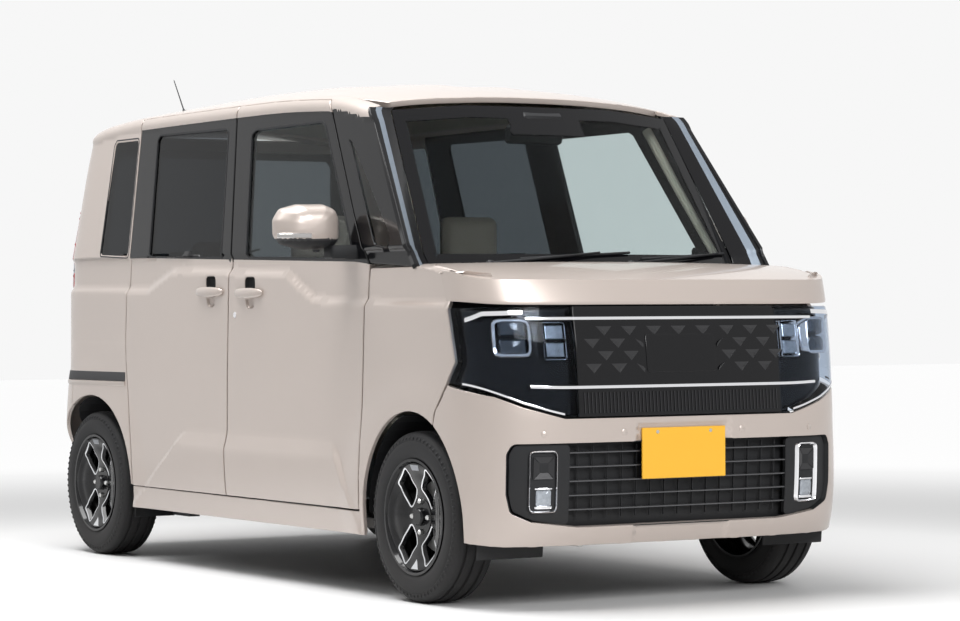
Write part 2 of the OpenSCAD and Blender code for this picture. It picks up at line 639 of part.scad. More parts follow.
module door_mirror() {
  difference() {
    intersection() {
      prism_x([[-955, 1180], [-982, 1208], [-984, 1262], [-960, 1300], [-900, 1316], [-806, 1318],
        [-766, 1302], [-752, 1270], [-752, 1192], [-780, 1166], [-880, 1162]], 660, 860);
      prism_z([[692, -955], [700, -764], [712, -750], [790, -750], [806, -768], [802, -880],
        [780, -950], [748, -984], [706, -980]], 1100, 1400);
    }
    bx(640, 708, -962, -772, 1186, 1300);
  }
  // foot on the door's front corner
  intersection() {
    prism_z([[724, -800], [792, -800], [824, -722], [820, -690], [740, -690]], 1130, 1176);
    side_slab([700, 800, 880], [1080, 1120, 1160, 1280], -80, -seat_gap);
  }
}
module front_door_right() { color("tan") front_door(); }
module front_door_left() { color("tan") mirror([0, 1, 0]) front_door(); }
module front_door_glass_right() { color("lightblue", 0.4) front_door_glass(); }
module front_door_glass_left() { color("lightblue", 0.4) mirror([0, 1, 0]) front_door_glass(); }
module door_mirror_right() { color("tan") door_mirror(); }
module door_mirror_left() { color("tan") mirror([0, 1, 0]) door_mirror(); }

// ---------------------------------------------------------------- cabin
module dashboard() {
  color("dimgray") {
    prism_y([[640, 760], [620, 980], [700, 1050], [990, 1050], [999.7, 960], [999.7, 640],
      [760, 620]],
      -560, 560);
    difference() {
      at_steering_hub() translate([0, 0, -130]) cylinder(h = 130 - hub_half - 5, r = 28);
      at_steering_hub() translate([0, 0, -90]) cylinder(h = 80, r = 10 + running_clearance);
    }
  }
}
wheel_hub = [540, -350, 958];
column_tilt = 24;
hub_half = 25;
module at_steering_hub() {
  translate(pt(wheel_hub[0], wheel_hub[1], wheel_hub[2])) rotate([0, -90 + column_tilt, 0]) children();
}
module steering_wheel() {
  color("black") at_steering_hub() {
    translate([0, 0, -80]) cylinder(h = 80, r = 10);
    rotate_extrude() translate([178, 0]) circle(r = 14, $fn = 20);
    cylinder(h = 2 * hub_half, r = 42, center = true);
    for (a = [0, 120, 240]) rotate([0, 0, a + 90]) translate([30, -16, -7]) cube([142, 32, 14]);
  }
}
module front_seat(s) {
  y0 = s > 0 ? 70 : -570;
  bx(-70, 400, y0, y0 + 500, 400, 560);
  leaning(-150, -20, y0 + 10, y0 + 490, 540, 1110, -120);
  leaning(-250, -160, y0 + 110, y0 + 390, 1130, 1310, -24);
  for (dy = [190, 310]) leaning(-216, -204, y0 + dy - 6, y0 + dy + 6, 1100, 1140, -8);
}
module front_seats() {
  color("gray") for (s = [-1, 1]) front_seat(s);
}
module rear_seat() {
  color("gray") for (s = [-1, 1]) {
    y0 = s > 0 ? 8 : -548;
    bx(-960, -490, y0, y0 + 540, 420, 560);
    bx(-920, -560, y0 + 20, y0 + 520, 244, 420);
    leaning(-1060, -930, y0, y0 + 540, 540, 1050, -90);
    leaning(-1150, -1070, y0 + 140, y0 + 400, 1070, 1230, -20);
    for (dy = [210, 330]) leaning(-1112, -1100, y0 + dy - 6, y0 + dy + 6, 1040, 1080, -8);
  }
}

// ---------------------------------------------------------------- running gear
module engine_block() {
  color("gray") bx(1080, 1440, -330, 250, 300, 820);
}
ball_joint_z = tyre_r - 105;
ball_pin_r = 9;
module front_subframe() {
  color("black") {
    bx(1000, 1060, -400, 400, 200, 260);
    both() difference() {
      union() {
        bx(1030, 1600, -380, -330, 260, 320);
        rod([sx(1030), -sy(380), sz(235)], [sx(axle_f) - 10, -sy(kingpin_y) + 13, ball_joint_z], 11);
        rod([sx(axle_f) + 60, -sy(345), sz(290)], [sx(axle_f) + 10, -sy(kingpin_y) + 13,
          ball_joint_z + 1], 10);
        translate([sx(axle_f), -sy(kingpin_y), ball_joint_z - 13]) cylinder(h = 27, r = 17);
        rod([sx(axle_f) - 20, -sy(kingpin_y) + 70, ball_joint_z + 60], [sx(axle_f) - 20, -sy(470),
          sz(912)], 18);
        bx(1110, 1260, -520, -360, 896, 930);
        bx(1110, 1260, -420, -360, 270, 930);
      }
      translate([sx(axle_f), -sy(kingpin_y), ball_joint_z - 20])
        cylinder(h = 40, r = ball_pin_r + running_clearance);
    }
    bx(1560, 1592, -500, 500, 262, 690);
  }
}
module knuckle() {
  h = tyre_r;
  translate([sx(axle_f), -sy(kingpin_y), 0]) {
    translate([-30, -8, h - 80]) cube([60, 22, 150]);
    translate([0, 14, h]) rotate([90, 0, 0]) cylinder(h = 14 + sy(wheel_y - kingpin_y) + 44,
      r = spindle_radius);
    translate([0, 0, h - 88]) cylinder(h = 20, r = 16);
    translate([0, 0, ball_joint_z - 10]) cylinder(h = 40, r = ball_pin_r);
  }
}
module knuckle_right() { color("dimgray") knuckle(); }
module knuckle_left() { color("dimgray") mirror([0, 1, 0]) knuckle(); }
module rear_axle() {
  color("black") {
    bx(-1210, -1130, -500, 500, 190, 209.5);
    both() {
      bx(-1360, -860, -530, -486, 163, 209.7);
      translate([sx(axle_r) - 30, -sy(560), sz(165)]) cube([60, sy(70), tyre_r + 50 - sz(165)]);
      translate([sx(axle_r), -sy(552), tyre_r]) rotate([90, 0, 0])
        cylinder(h = sy(wheel_y - 552) + 44, r = spindle_radius);
      bx(-1320, -1280, -520, -480.3, 290, 416);
    }
  }
}
module fuel_tank() {
  color("black") bx(-60, 360, -480, 480, 190, 375.7);
}
module exhaust() {
  color("gray") {
    for (x = [-900, -100, 700]) bx(x, x + 20, -10, 10, 168, 209.7);
    rod([sx(1080), 0, sz(167)], [sx(-1500), 0, sz(167)], 22);
    bx(1060, 1090, -30, 30, 150, 299.7);
    translate([sx(-1500), sy(-60), sz(150)]) cube([sx(120), sy(520), sz(60)]);
    rod([sx(-1490), sy(400), sz(176)], [sx(-1630), sy(400), sz(176)], 20);
    bx(-1460, -1440, 100, 120, 206, 395.7);
  }
}
// Plan of the space inside the bumpers and fenders that the wheel liners stay in.
liner_plan = [[-1662, 0], [-1662, -500], [-1640, -565], [-1612, -612], [-1580, -650], [-1540, -684],
  [-1500, -704], [-1470, -713.2], [1325, -713.2], [1326, -691], [1440, -687], [1480, -676],
  [1522, -658], [1522, 0]];
module wheel_liners() {
  color("black") both() intersection() {
    union() {
      liner(axle_f, 420);
      liner(axle_r, 540);
    }
    prism_z(liner_plan);
  }
}
module liner(ax, y_in) {
  difference() {
    arch_cut(ax, -1, -720, -y_in);
    arch_cut(ax, -5, -760, -y_in - 4);
    translate([-far, -far, -far]) cube([2 * far, 2 * far, far + tyre_r]);
    bx(ax - 90, ax + 90, -760, 0, 0, 700);
  }
}
module tyre() {
  b = tyre_width / 2;
  r = tyre_r;
  rotate([90, 0, 0]) rotate_extrude($fn = 64) polygon([[rim_r + 0.3, -b + 14],
    [rim_r + 12, -b + 3], [r - 46, -b], [r - 12, -b + 12], [r - 2, -b + 26], [r, -b + 48],
    [r, b - 48], [r - 2, b - 26], [r - 12, b - 12], [r - 46, b], [rim_r + 12, b - 3],
    [rim_r + 0.3, b - 14], [rim_r + 0.3, b - 30], [r - 20, b - 34], [r - 20, -b + 34],
    [rim_r + 0.3, -b + 30]]);
}
// Rim with its outer face towards -Y of the wheel's own frame.
module rim() {
  b = tyre_width / 2;
  rotate([90, 0, 0]) difference() {
    union() {
      rotate_extrude($fn = 64) polygon([[rim_r, -b + 13.4], [rim_r + 8, -b + 5.9], [rim_r + 8, -b + 2],
        [rim_r - 6, -b + 2], [rim_r - 12, -b + 34], [rim_r - 30, 0], [rim_r - 10, b - 26],
        [rim_r - 6, b - 2], [rim_r + 8, b - 2], [rim_r + 8, b - 5.9], [rim_r, b - 13.4],
        [rim_r, b - 34], [rim_r - 22, 0], [rim_r, -b + 34]]);
      translate([0, 0, b - 42]) cylinder(h = 28, r = rim_r - 8);
      translate([0, 0, -30]) cylinder(h = b + 8, r = 62);
      translate([0, 0, -40]) cylinder(h = 14, r = 120);
    }
    for (a = [45 : 90 : 315]) rotate([0, 0, a]) translate([0, 0, b - 60]) linear_extrude(60)
      polygon([[74, 0], [112, -52], [rim_r - 22, -30], [rim_r - 16, 0], [rim_r - 22, 30],
        [112, 52]]);
    translate([0, 0, -60]) cylinder(h = b + 48, r = spindle_radius + running_clearance);
  }
}
module at_wheel(ax, side) {
  translate([sx(ax), side * sy(wheel_y), tyre_r]) mirror([0, side > 0 ? 1 : 0, 0]) children();
}
module tyre_front_right() { color("black") at_wheel(axle_f, -1) tyre(); }
module tyre_front_left() { color("black") at_wheel(axle_f, 1) tyre(); }
module tyre_rear_right() { color("black") at_wheel(axle_r, -1) tyre(); }
module tyre_rear_left() { color("black") at_wheel(axle_r, 1) tyre(); }
module rim_front_right() { color("silver") at_wheel(axle_f, -1) rim(); }
module rim_front_left() { color("silver") at_wheel(axle_f, 1) rim(); }
module rim_rear_right() { color("silver") at_wheel(axle_r, -1) rim(); }
module rim_rear_left() { color("silver") at_wheel(axle_r, 1) rim(); }

// ---------------------------------------------------------------- outside trim
module wipers() {
  color("black") for (s = [0, 1]) {
    y0 = s == 0 ? -420 : 120;
    a = pt(screen_x(y0, 1118) + 25, y0, 1118);
    b = pt(screen_x(y0 + 430, 1150) + 25, y0 + 430, 1150);
    rod(a, b, 6);
    rod(pt(screen_x(y0, 1118) + 20, y0, 1083.2), a, 7);
  }
}
module antenna() {
  color("black") {
    translate(pt(-1290, -330, roof_z(-1290, 330) - 2)) cylinder(h = 16, r = 16);
    rod(pt(-1290, -330, roof_z(-1290, 330) + 8), pt(-1392, -330, roof_z(-1290, 330) + 150), 3);
  }
}

floor_pan();
side_frame_right();
side_frame_left();
roof_panel();
firewall();
fenders();
front_bumper();
grille_panel();
headlamps();
lower_grille();
number_plates();
windscreen();
quarter_glass();
sliding_doors();
sliding_door_glass();
rear_bumper();
tail_lamps();
dashboard();
front_seats();
rear_seat();
engine_block();
front_subframe();
fuel_tank();
exhaust();
rear_axle();
wipers();
antenna();
wheel_liners();
steering_wheel();
front_door_right();
front_door_glass_right();
door_mirror_right();
front_door_left();
front_door_glass_left();
door_mirror_left();
bonnet();
tailgate();
tailgate_glass();
knuckle_right();
knuckle_left();
tyre_front_right();
tyre_front_left();
tyre_rear_right();
tyre_rear_left();
rim_front_right();
rim_front_left();
rim_rear_right();
rim_rear_left();
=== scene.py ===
"""Looks of a tall kei car with sliding rear doors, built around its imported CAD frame."""
import json
import math

import bmesh
import bpy
import numpy as np
from mathutils import Matrix, Vector, geometry


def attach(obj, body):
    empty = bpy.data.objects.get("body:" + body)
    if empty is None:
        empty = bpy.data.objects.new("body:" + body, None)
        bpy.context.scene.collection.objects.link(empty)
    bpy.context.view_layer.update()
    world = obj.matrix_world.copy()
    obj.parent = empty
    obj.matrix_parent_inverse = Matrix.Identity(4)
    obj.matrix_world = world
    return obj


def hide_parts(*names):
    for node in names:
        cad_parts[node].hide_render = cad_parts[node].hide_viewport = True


bl_info = {
    "name": "Kei car body and trim",
    "version": (1, 0, 0),
    "blender": (4, 5, 0),
    "location": "3D view > Sidebar > Kei car",
    "description": "Builds the painted skin, glass, lamps, wheels, trim and cabin of a kei car",
    "category": "Object",
}

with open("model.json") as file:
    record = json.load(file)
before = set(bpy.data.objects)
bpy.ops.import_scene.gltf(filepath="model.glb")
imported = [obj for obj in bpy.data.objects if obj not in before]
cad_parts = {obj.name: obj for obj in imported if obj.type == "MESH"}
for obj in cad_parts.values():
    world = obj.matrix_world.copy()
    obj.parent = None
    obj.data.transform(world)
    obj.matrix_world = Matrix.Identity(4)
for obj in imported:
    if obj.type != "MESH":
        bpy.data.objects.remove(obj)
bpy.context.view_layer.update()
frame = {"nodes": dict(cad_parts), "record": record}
MM = 0.001
SHARP = 4.2
SHARP_TAIL = 5.0
CORNER_X = 1330.0
AXLES = {"front": 1196.0, "rear": -1299.0}
WHEEL_Y = 650.0
WHEEL_Z = 281.25

NOSE_PROFILE = ((150, 1640), (200, 1662), (280, 1684), (400, 1694), (500, 1697.5), (600, 1697), (700, 1690),
                (800, 1681), (900, 1665), (985, 1645), (1054, 1621), (1085, 1606), (1120, 1590))
TAIL_PROFILE = ((150, 1640), (200, 1655), (300, 1684), (420, 1695), (520, 1697.5), (640, 1695), (700, 1684),
                (730, 1664), (900, 1658), (1100, 1654), (1300, 1642), (1500, 1622), (1600, 1600), (1700, 1560),
                (1800, 1500))
CROWN = ((-1640, 1690), (-1500, 1728), (-1300, 1752), (-900, 1776), (-400, 1785), (0, 1782), (300, 1768),
         (600, 1735), (810, 1692), (900, 1670))
EDGE = ((-1640, 1600), (-1500, 1660), (-1300, 1690), (-1000, 1704), (0, 1708), (500, 1693), (760, 1650),
        (900, 1600))
CHARACTER = ((-1700, 1060), (-1495, 1058), (-803, 1048), (-700, 1082), (-589, 1120), (-520, 1125), (333, 1099),
             (420, 1055), (526, 1012), (640, 1003), (885, 998), (1417, 985), (1800, 975))
WAIST = ((-1700, 1180), (-1250, 1163), (-800, 1160), (-100, 1143), (800, 1122), (905, 1112), (1240, 1100))


class KeiCarSizes(bpy.types.PropertyGroup):
    """Sizes that a user may change."""
    crease_depth: bpy.props.FloatProperty(
        name="Crease depth", description="How far the side stands out below the character line", default=0.016,
        unit="LENGTH")
    crease_height: bpy.props.FloatProperty(
        name="Crease height", description="Height of the chamfer under the character line", default=0.024,
        unit="LENGTH")
    arch_swell: bpy.props.FloatProperty(
        name="Arch swell", description="How far the wheel arches stand out", default=0.009, unit="LENGTH")
    door_flare: bpy.props.FloatProperty(
        name="Door flare", description="How far the foot of the doors stands out", default=0.014, unit="LENGTH")
    edge_roll: bpy.props.FloatProperty(
        name="Edge roll", description="Radius of the folded edge of a body panel", default=0.0024, unit="LENGTH")
    tread_blocks: bpy.props.IntProperty(
        name="Tread blocks", description="Number of shoulder blocks round a tyre", default=72, min=24)
    grille_fins: bpy.props.IntProperty(
        name="Grille fins", description="Number of bright fins in the lower grille", default=5, min=1)


class KeiCarColours(bpy.types.PropertyGroup):
    """Colours that a user may change."""
    paint: bpy.props.FloatVectorProperty(
        name="Paint", description="Body paint", default=(0.50, 0.432, 0.392), subtype="COLOR", size=3)
    trim_black: bpy.props.FloatVectorProperty(
        name="Gloss black", description="Sashes, pillars and nose panel", default=(0.005, 0.005, 0.006),
        subtype="COLOR", size=3)
    plastic: bpy.props.FloatVectorProperty(
        name="Dark plastic", description="Grilles, arches and mirror feet", default=(0.014, 0.0145, 0.016),
        subtype="COLOR", size=3)
    plate: bpy.props.FloatVectorProperty(
        name="Number plate", description="Face of the blank number plates", default=(0.88, 0.47, 0.035),
        subtype="COLOR", size=3)
    tail_red: bpy.props.FloatVectorProperty(
        name="Tail lamp", description="Red lens of the tail lamps", default=(0.42, 0.012, 0.016),
        subtype="COLOR", size=3)
    seat: bpy.props.FloatVectorProperty(
        name="Seat cloth", description="Colour of the seat covers", default=(0.20, 0.175, 0.15),
        subtype="COLOR", size=3)


# ---------------------------------------------------------------- curves and surfaces of the body


def smooth_curve(points):
    """A function through the points that neither overshoots nor kinks."""
    x, y = np.array(points, float).T
    h, d = np.diff(x), np.diff(y) / np.diff(x)
    m = np.zeros(len(x))
    for i in range(1, len(x) - 1):
        if d[i - 1] * d[i] > 0:
            w1, w2 = 2 * h[i] + h[i - 1], h[i] + 2 * h[i - 1]
            m[i] = (w1 + w2) / (w1 / d[i - 1] + w2 / d[i])
    m[0], m[-1] = d[0], d[-1]

    def at(q):
        q = np.clip(np.asarray(q, float), x[0], x[-1])
        i = np.clip(np.searchsorted(x, q) - 1, 0, len(h) - 1)
        t = (q - x[i]) / h[i]
        return ((1 + 2 * t) * (1 - t) ** 2 * y[i] + t * (1 - t) ** 2 * h[i] * m[i]
                + t * t * (3 - 2 * t) * y[i + 1] + t * t * (t - 1) * h[i] * m[i + 1])
    return at


nose_x = smooth_curve(NOSE_PROFILE)
tail_x = smooth_curve(TAIL_PROFILE)
crown_z = smooth_curve(CROWN)
edge_z = smooth_curve(EDGE)


def line_z(points):
    x, z = np.array(points, float).T
    return lambda q: np.interp(q, x, z)


character_z = line_z(CHARACTER)
waist_z = line_z(WAIST)


def ramp(v, low, high):
    t = np.clip((v - low) / (high - low), 0, 1)
    return t * t * (3 - 2 * t)


def corner_table(power, deep, wide):
    """Distance along a rounded corner against its place, as parts of its depth and width."""
    f = np.linspace(0, 1, 3001) ** 2.2
    f = np.unique(np.concatenate([f / 2, 1 - f / 2]))
    x, y = np.sin(f * math.pi / 2) ** (2 / power), np.cos(f * math.pi / 2) ** (2 / power)
    s = np.concatenate([[0], np.cumsum(np.hypot(np.diff(x) * deep, np.diff(y) * wide))])
    return s, x, y


NOSE = corner_table(SHARP, 355, 737)
TAIL = corner_table(SHARP_TAIL, 345, 734)
NOSE_LEN, TAIL_LEN = float(NOSE[0][-1]), float(TAIL[0][-1])


def side_width(x, z):
    """Half the car's width, with the chamfer under the character line."""
    s = sizes()
    w = np.where(z < 420, 737.5 - 14 * ((420 - z) / 240.0) ** 2, 737.5)
    line = character_z(x)
    deep, tall = s.crease_depth / MM, s.crease_height / MM
    under = np.clip((z - (line - tall)) / tall, 0, 1)
    w = w - deep * under - 1.6 * ramp(z, line, line + 90)
    w = np.where(z > 1160, 727.9 - 0.16 * (z - 1160), w)
    for axle in AXLES.values():
        r = np.hypot(x - axle, z - WHEEL_Z)
        w = w + s.arch_swell / MM * (1 - ramp(r, 356, 500)) * (z < 1100)
    window = ramp(x, -790, -640) * (1 - ramp(x, 690, 820))
    foot = np.clip((515 - z) / 60.0, 0, 1) - 0.45 * np.clip((440 - z) / 150.0, 0, 1)
    slope = np.clip((x + 783 - 1.58 * (z - 322)) / 26.0, 0, 1) * np.clip((800 - 0.66 * (z - 330) - x) / 26.0, 0, 1)
    w = w + s.door_flare / MM * foot * slope
    # the shut line of the rear quarter, a fine groove across it
    return w - 1.4 * np.exp(-((z - 840) / 3.0) ** 2) * (x < -989)


def belt(s, z, off=0.0, side=1):
    """A point on the car's upright skin: s is x along the flank and runs on round the corners."""
    s, z = np.broadcast_arrays(np.asarray(s, float), np.asarray(z, float))
    tn, tt = np.clip(s - CORNER_X, 0, NOSE_LEN), np.clip(-s - CORNER_X, 0, TAIL_LEN)
    xn, yn = np.interp(tn, NOSE[0], NOSE[1]), np.interp(tn, NOSE[0], NOSE[2])
    xt, yt = np.interp(tt, TAIL[0], TAIL[1]), np.interp(tt, TAIL[0], TAIL[2])
    deep_n, deep_t = nose_x(z) - CORNER_X + off, tail_x(z) - CORNER_X + off
    x = np.where(s > CORNER_X, CORNER_X + deep_n * xn, np.where(s < -CORNER_X, -CORNER_X - deep_t * xt, s))
    y = (side_width(x, z) + off) * np.where(s > CORNER_X, yn, np.where(s < -CORNER_X, yt, 1.0))
    return np.stack([x, y * side, z], -1)


def s_at_x(x, z):
    """Where on the skin a given x lies at height z."""
    if x > CORNER_X:
        part = min((x - CORNER_X) / (float(nose_x(z)) - CORNER_X), 1)
        return CORNER_X + float(np.interp(part, NOSE[1], NOSE[0]))
    if x < -CORNER_X:
        part = min((-x - CORNER_X) / (float(tail_x(z)) - CORNER_X), 1)
        return -CORNER_X - float(np.interp(part, TAIL[1], TAIL[0]))
    return x


def s_at_y(y, z, end):
    """Where on the nose (end 1) or tail (end -1) a given y lies at height z."""
    table = NOSE if end > 0 else TAIL
    part = min(abs(y) / float(side_width(1500 * end, z)), 1)
    return end * (CORNER_X + float(np.interp(-part, -table[2], table[0])))


def along_nose(q, z, off=0.0):
    """q is the distance along the nose from its middle, positive to the left."""
    p = belt(CORNER_X + NOSE_LEN - np.abs(q), z, off)
    p[..., 1] *= np.sign(q)
    return p


def along_tail(q, z, off=0.0):
    p = belt(-(CORNER_X + TAIL_LEN - np.abs(q)), z, off)
    p[..., 1] *= np.sign(q)
    return p


def nose_q(y, z):
    return math.copysign(CORNER_X + NOSE_LEN - s_at_y(y, z, 1), y)


def tail_q(y, z):
    return math.copysign(CORNER_X + TAIL_LEN + s_at_y(y, z, -1), y)


def nose_qx(x, z, side):
    return side * (CORNER_X + NOSE_LEN - s_at_x(x, z))


def tail_qx(x, z, side):
    return side * (CORNER_X + TAIL_LEN + s_at_x(x, z))


def roof(x, y, off=0.0):
    x, y = np.broadcast_arrays(np.asarray(x, float), np.asarray(y, float))
    part = np.clip(np.abs(y) / 640.0, 0, 1.05) ** 2.6
    return np.stack([x, y, crown_z(x) - (crown_z(x) - edge_z(x)) * part + off], -1)


def screen(y, z, off=0.0):
    y, z = np.broadcast_arrays(np.asarray(y, float), np.asarray(z, float))
    return np.stack([1115 - 0.668 * (z - 1104) + 92 * (1 - (y / 640.0) ** 2) + off, y, z], -1)


def bonnet_point(f, k, off=0.0):
    """The bonnet's skin: f from -1 to 1 across the nose, k from 0 at its lower edge to 8 at the screen."""
    f, k = np.broadcast_arrays(np.asarray(f, float), np.asarray(k, float))
    a = np.abs(f) * math.pi / 2
    crease = 1054 + 30 * np.sin(a) ** 12
    low = 973 + 13 * np.sin(a) ** 6
    z0 = np.where(k < 2, low + (crease - low) * k / 2, crease)
    x0 = CORNER_X + (nose_x(z0) - CORNER_X) * np.cos(a) ** (2 / SHARP)
    y0 = 737.0 * np.sin(a) ** (2 / SHARP)
    t = np.clip((k - 2) / 6, 0, 1)
    y1 = y0 * (1 - 0.04 * t)
    x1 = x0 + (1262 - 62 * (y1 / 640) ** 2 - x0) * t
    top = 1117 - 8 * (y1 / 700) ** 2
    z1 = z0 + (top - z0) * (1 - (1 - t) ** 1.8)
    return np.stack([x1, y1 * np.sign(f), z1 + off], -1)


# ---------------------------------------------------------------- meshes


def sizes():
    return bpy.context.scene.kei_sizes


def colours():
    return bpy.context.scene.kei_colours


def add_mesh(name, verts, faces, mats, zones=None, normals=None, flat=False):
    """An object whose place, in millimetres, is in its mesh."""
    me = bpy.data.meshes.new(name)
    me.from_pydata((np.asarray(verts, float) * MM).tolist(), [], [tuple(int(i) for i in f) for f in faces])
    for mat in mats:
        me.materials.append(mat)
    if zones is not None:
        me.polygons.foreach_set("material_index", np.asarray(zones, np.int32))
    me.polygons.foreach_set("use_smooth", np.full(len(me.polygons), not flat))
    me.update()
    if normals is not None:
        me.normals_split_custom_set(np.asarray(normals, float).tolist())
    ob = bpy.data.objects.new(name, me)
    bpy.context.scene.collection.objects.link(ob)
    return ob


def settle(ob, body, nodes=()):
    """Seats a finished piece on its body and hides the CAD parts that it stands for."""
    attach(ob, body)
    if nodes:
        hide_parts(*nodes)
    return ob


def dense(loop, step, closed=True):
    """The same line with points no further apart than step."""
    pts = [np.array(p, float) for p in loop]
    out = []
    for a, b in zip(pts, pts[1:] + (pts[:1] if closed else [])):
        n = max(1, int(math.ceil(np.linalg.norm(b - a) / step)))
        out += [a + (b - a) * i / n for i in range(n)]
    if not closed:
        out.append(pts[-1])
    return np.array(out)


def soften(loop, r, n=4):
    """Rounds the corners of a closed outline."""
    pts, out = [np.array(p, float) for p in loop], []
    for i, p in enumerate(pts):
        a, b = pts[i - 1] - p, pts[(i + 1) % len(pts)] - p
        la, lb = np.linalg.norm(a), np.linalg.norm(b)
        turn = math.acos(max(-1, min(1, float(a @ b) / (la * lb))))
        if turn > 2.8:
            out.append(p)
            continue
        cut = min(r / math.tan(turn / 2), la * 0.45, lb * 0.45)
        p0, p2 = p + a / la * cut, p + b / lb * cut
        for j in range(n + 1):
            t = j / n
            out.append((1 - t) ** 2 * p0 + 2 * t * (1 - t) * p + t * t * p2)
    return out


def area(loop):
    x, y = np.asarray(loop, float).T
    return 0.5 * float(np.sum(x * np.roll(y, -1) - np.roll(x, -1) * y))


def inset(loop, d):
    """The outline moved in by d, or out where d is negative."""
    p = np.asarray(loop, float)
    sign = 1 if area(p) > 0 else -1
    e = np.roll(p, -1, 0) - p
    n = np.stack([-e[:, 1], e[:, 0]], 1) * sign
    n /= np.maximum(np.linalg.norm(n, axis=1, keepdims=True), 1e-9)
    m = n + np.roll(n, 1, 0)
    m /= np.maximum(np.linalg.norm(m, axis=1, keepdims=True), 1e-9)
    c = np.clip(np.sum(m * n, 1), 0.5, 1)
    return p + m * (d / c)[:, None]


def inside(pts, loop):
    x, y = pts[:, 0][:, None], pts[:, 1][:, None]
    a, b = np.asarray(loop, float), np.roll(np.asarray(loop, float), -1, 0)
    dy = b[:, 1] - a[:, 1]
    dy = np.where(np.abs(dy) < 1e-12, 1e-12, dy)
    cross = (a[:, 1] > y) != (b[:, 1] > y)
    hit = cross & (x < (b[:, 0] - a[:, 0]) * (y - a[:, 1]) / dy + a[:, 0])
    return (hit.sum(1) % 2) == 1


def near(pts, a, b, d):
    """Which points lie closer than d to any of the segments a-b."""
    keep = np.zeros(len(pts), bool)
    for i in range(0, len(pts), 4000):
        p = pts[i:i + 4000, None, :]
        ab = (b - a)[None]
        t = np.clip(((p - a[None]) * ab).sum(2) / np.maximum((ab ** 2).sum(2), 1e-9), 0, 1)
        keep[i:i + 4000] = (np.linalg.norm(p - a[None] - t[..., None] * ab, axis=2) < d).any(1)
    return keep


def mesh_region(outline, holes=(), lines=(), step=16.0, roll=3.0):
    """Triangles of a flat outline with holes, an inner ring along each edge and the given feature lines."""
    loops = [dense(outline, step)] + [dense(h, step) for h in holes]
    pts, segs = [], []
    for i, loop in enumerate(loops):
        for ring in ([loop, inset(loop, roll if i == 0 else -roll)] if roll else [loop]):
            k, n = len(pts), len(ring)
            pts += [tuple(p) for p in ring]
            segs += [(k + j, k + (j + 1) % n) for j in range(n)]
    for line in lines:
        line = dense(line, step, closed=False)
        k = len(pts)
        pts += [tuple(p) for p in line]
        segs += [(k + j, k + j + 1) for j in range(len(line) - 1)]
    arr = np.array(pts)
    low, high = loops[0].min(0), loops[0].max(0)
    xs = np.arange(low[0] + step / 2, high[0], step)
    zs = np.arange(low[1] + step / 2, high[1], step * 0.87)
    grid = np.array([(x + (step / 2 if j % 2 else 0), z) for j, z in enumerate(zs) for x in xs])
    if len(grid):
        grid = grid[inside(grid, loops[0])]
        for h in loops[1:]:
            grid = grid[~inside(grid, h)]
    if len(grid):
        seg = np.array(segs)
        grid = grid[~near(grid, arr[seg[:, 0]], arr[seg[:, 1]], step * 0.5)]
        pts += [tuple(p) for p in grid]
    out = geometry.delaunay_2d_cdt([Vector(p) for p in pts], segs, [], 0, 1e-4)
    uv, tris = np.array([tuple(v) for v in out[0]]), np.array([list(f) for f in out[2]])
    mid = uv[tris].mean(1)
    keep = inside(mid, loops[0])
    for h in loops[1:]:
        keep &= ~inside(mid, h)
    tris = tris[keep]
    a, b, c = uv[tris[:, 0]], uv[tris[:, 1]], uv[tris[:, 2]]
    turn = (b[:, 0] - a[:, 0]) * (c[:, 1] - a[:, 1]) - (b[:, 1] - a[:, 1]) * (c[:, 0] - a[:, 0])
    tris = tris[np.abs(turn) > 1e-9]
    turn = turn[np.abs(turn) > 1e-9]
    tris[turn < 0] = tris[turn < 0][:, ::-1]
    used = np.unique(tris)
    back = np.full(len(uv), -1)
    back[used] = np.arange(len(used))
    return uv[used], back[tris]


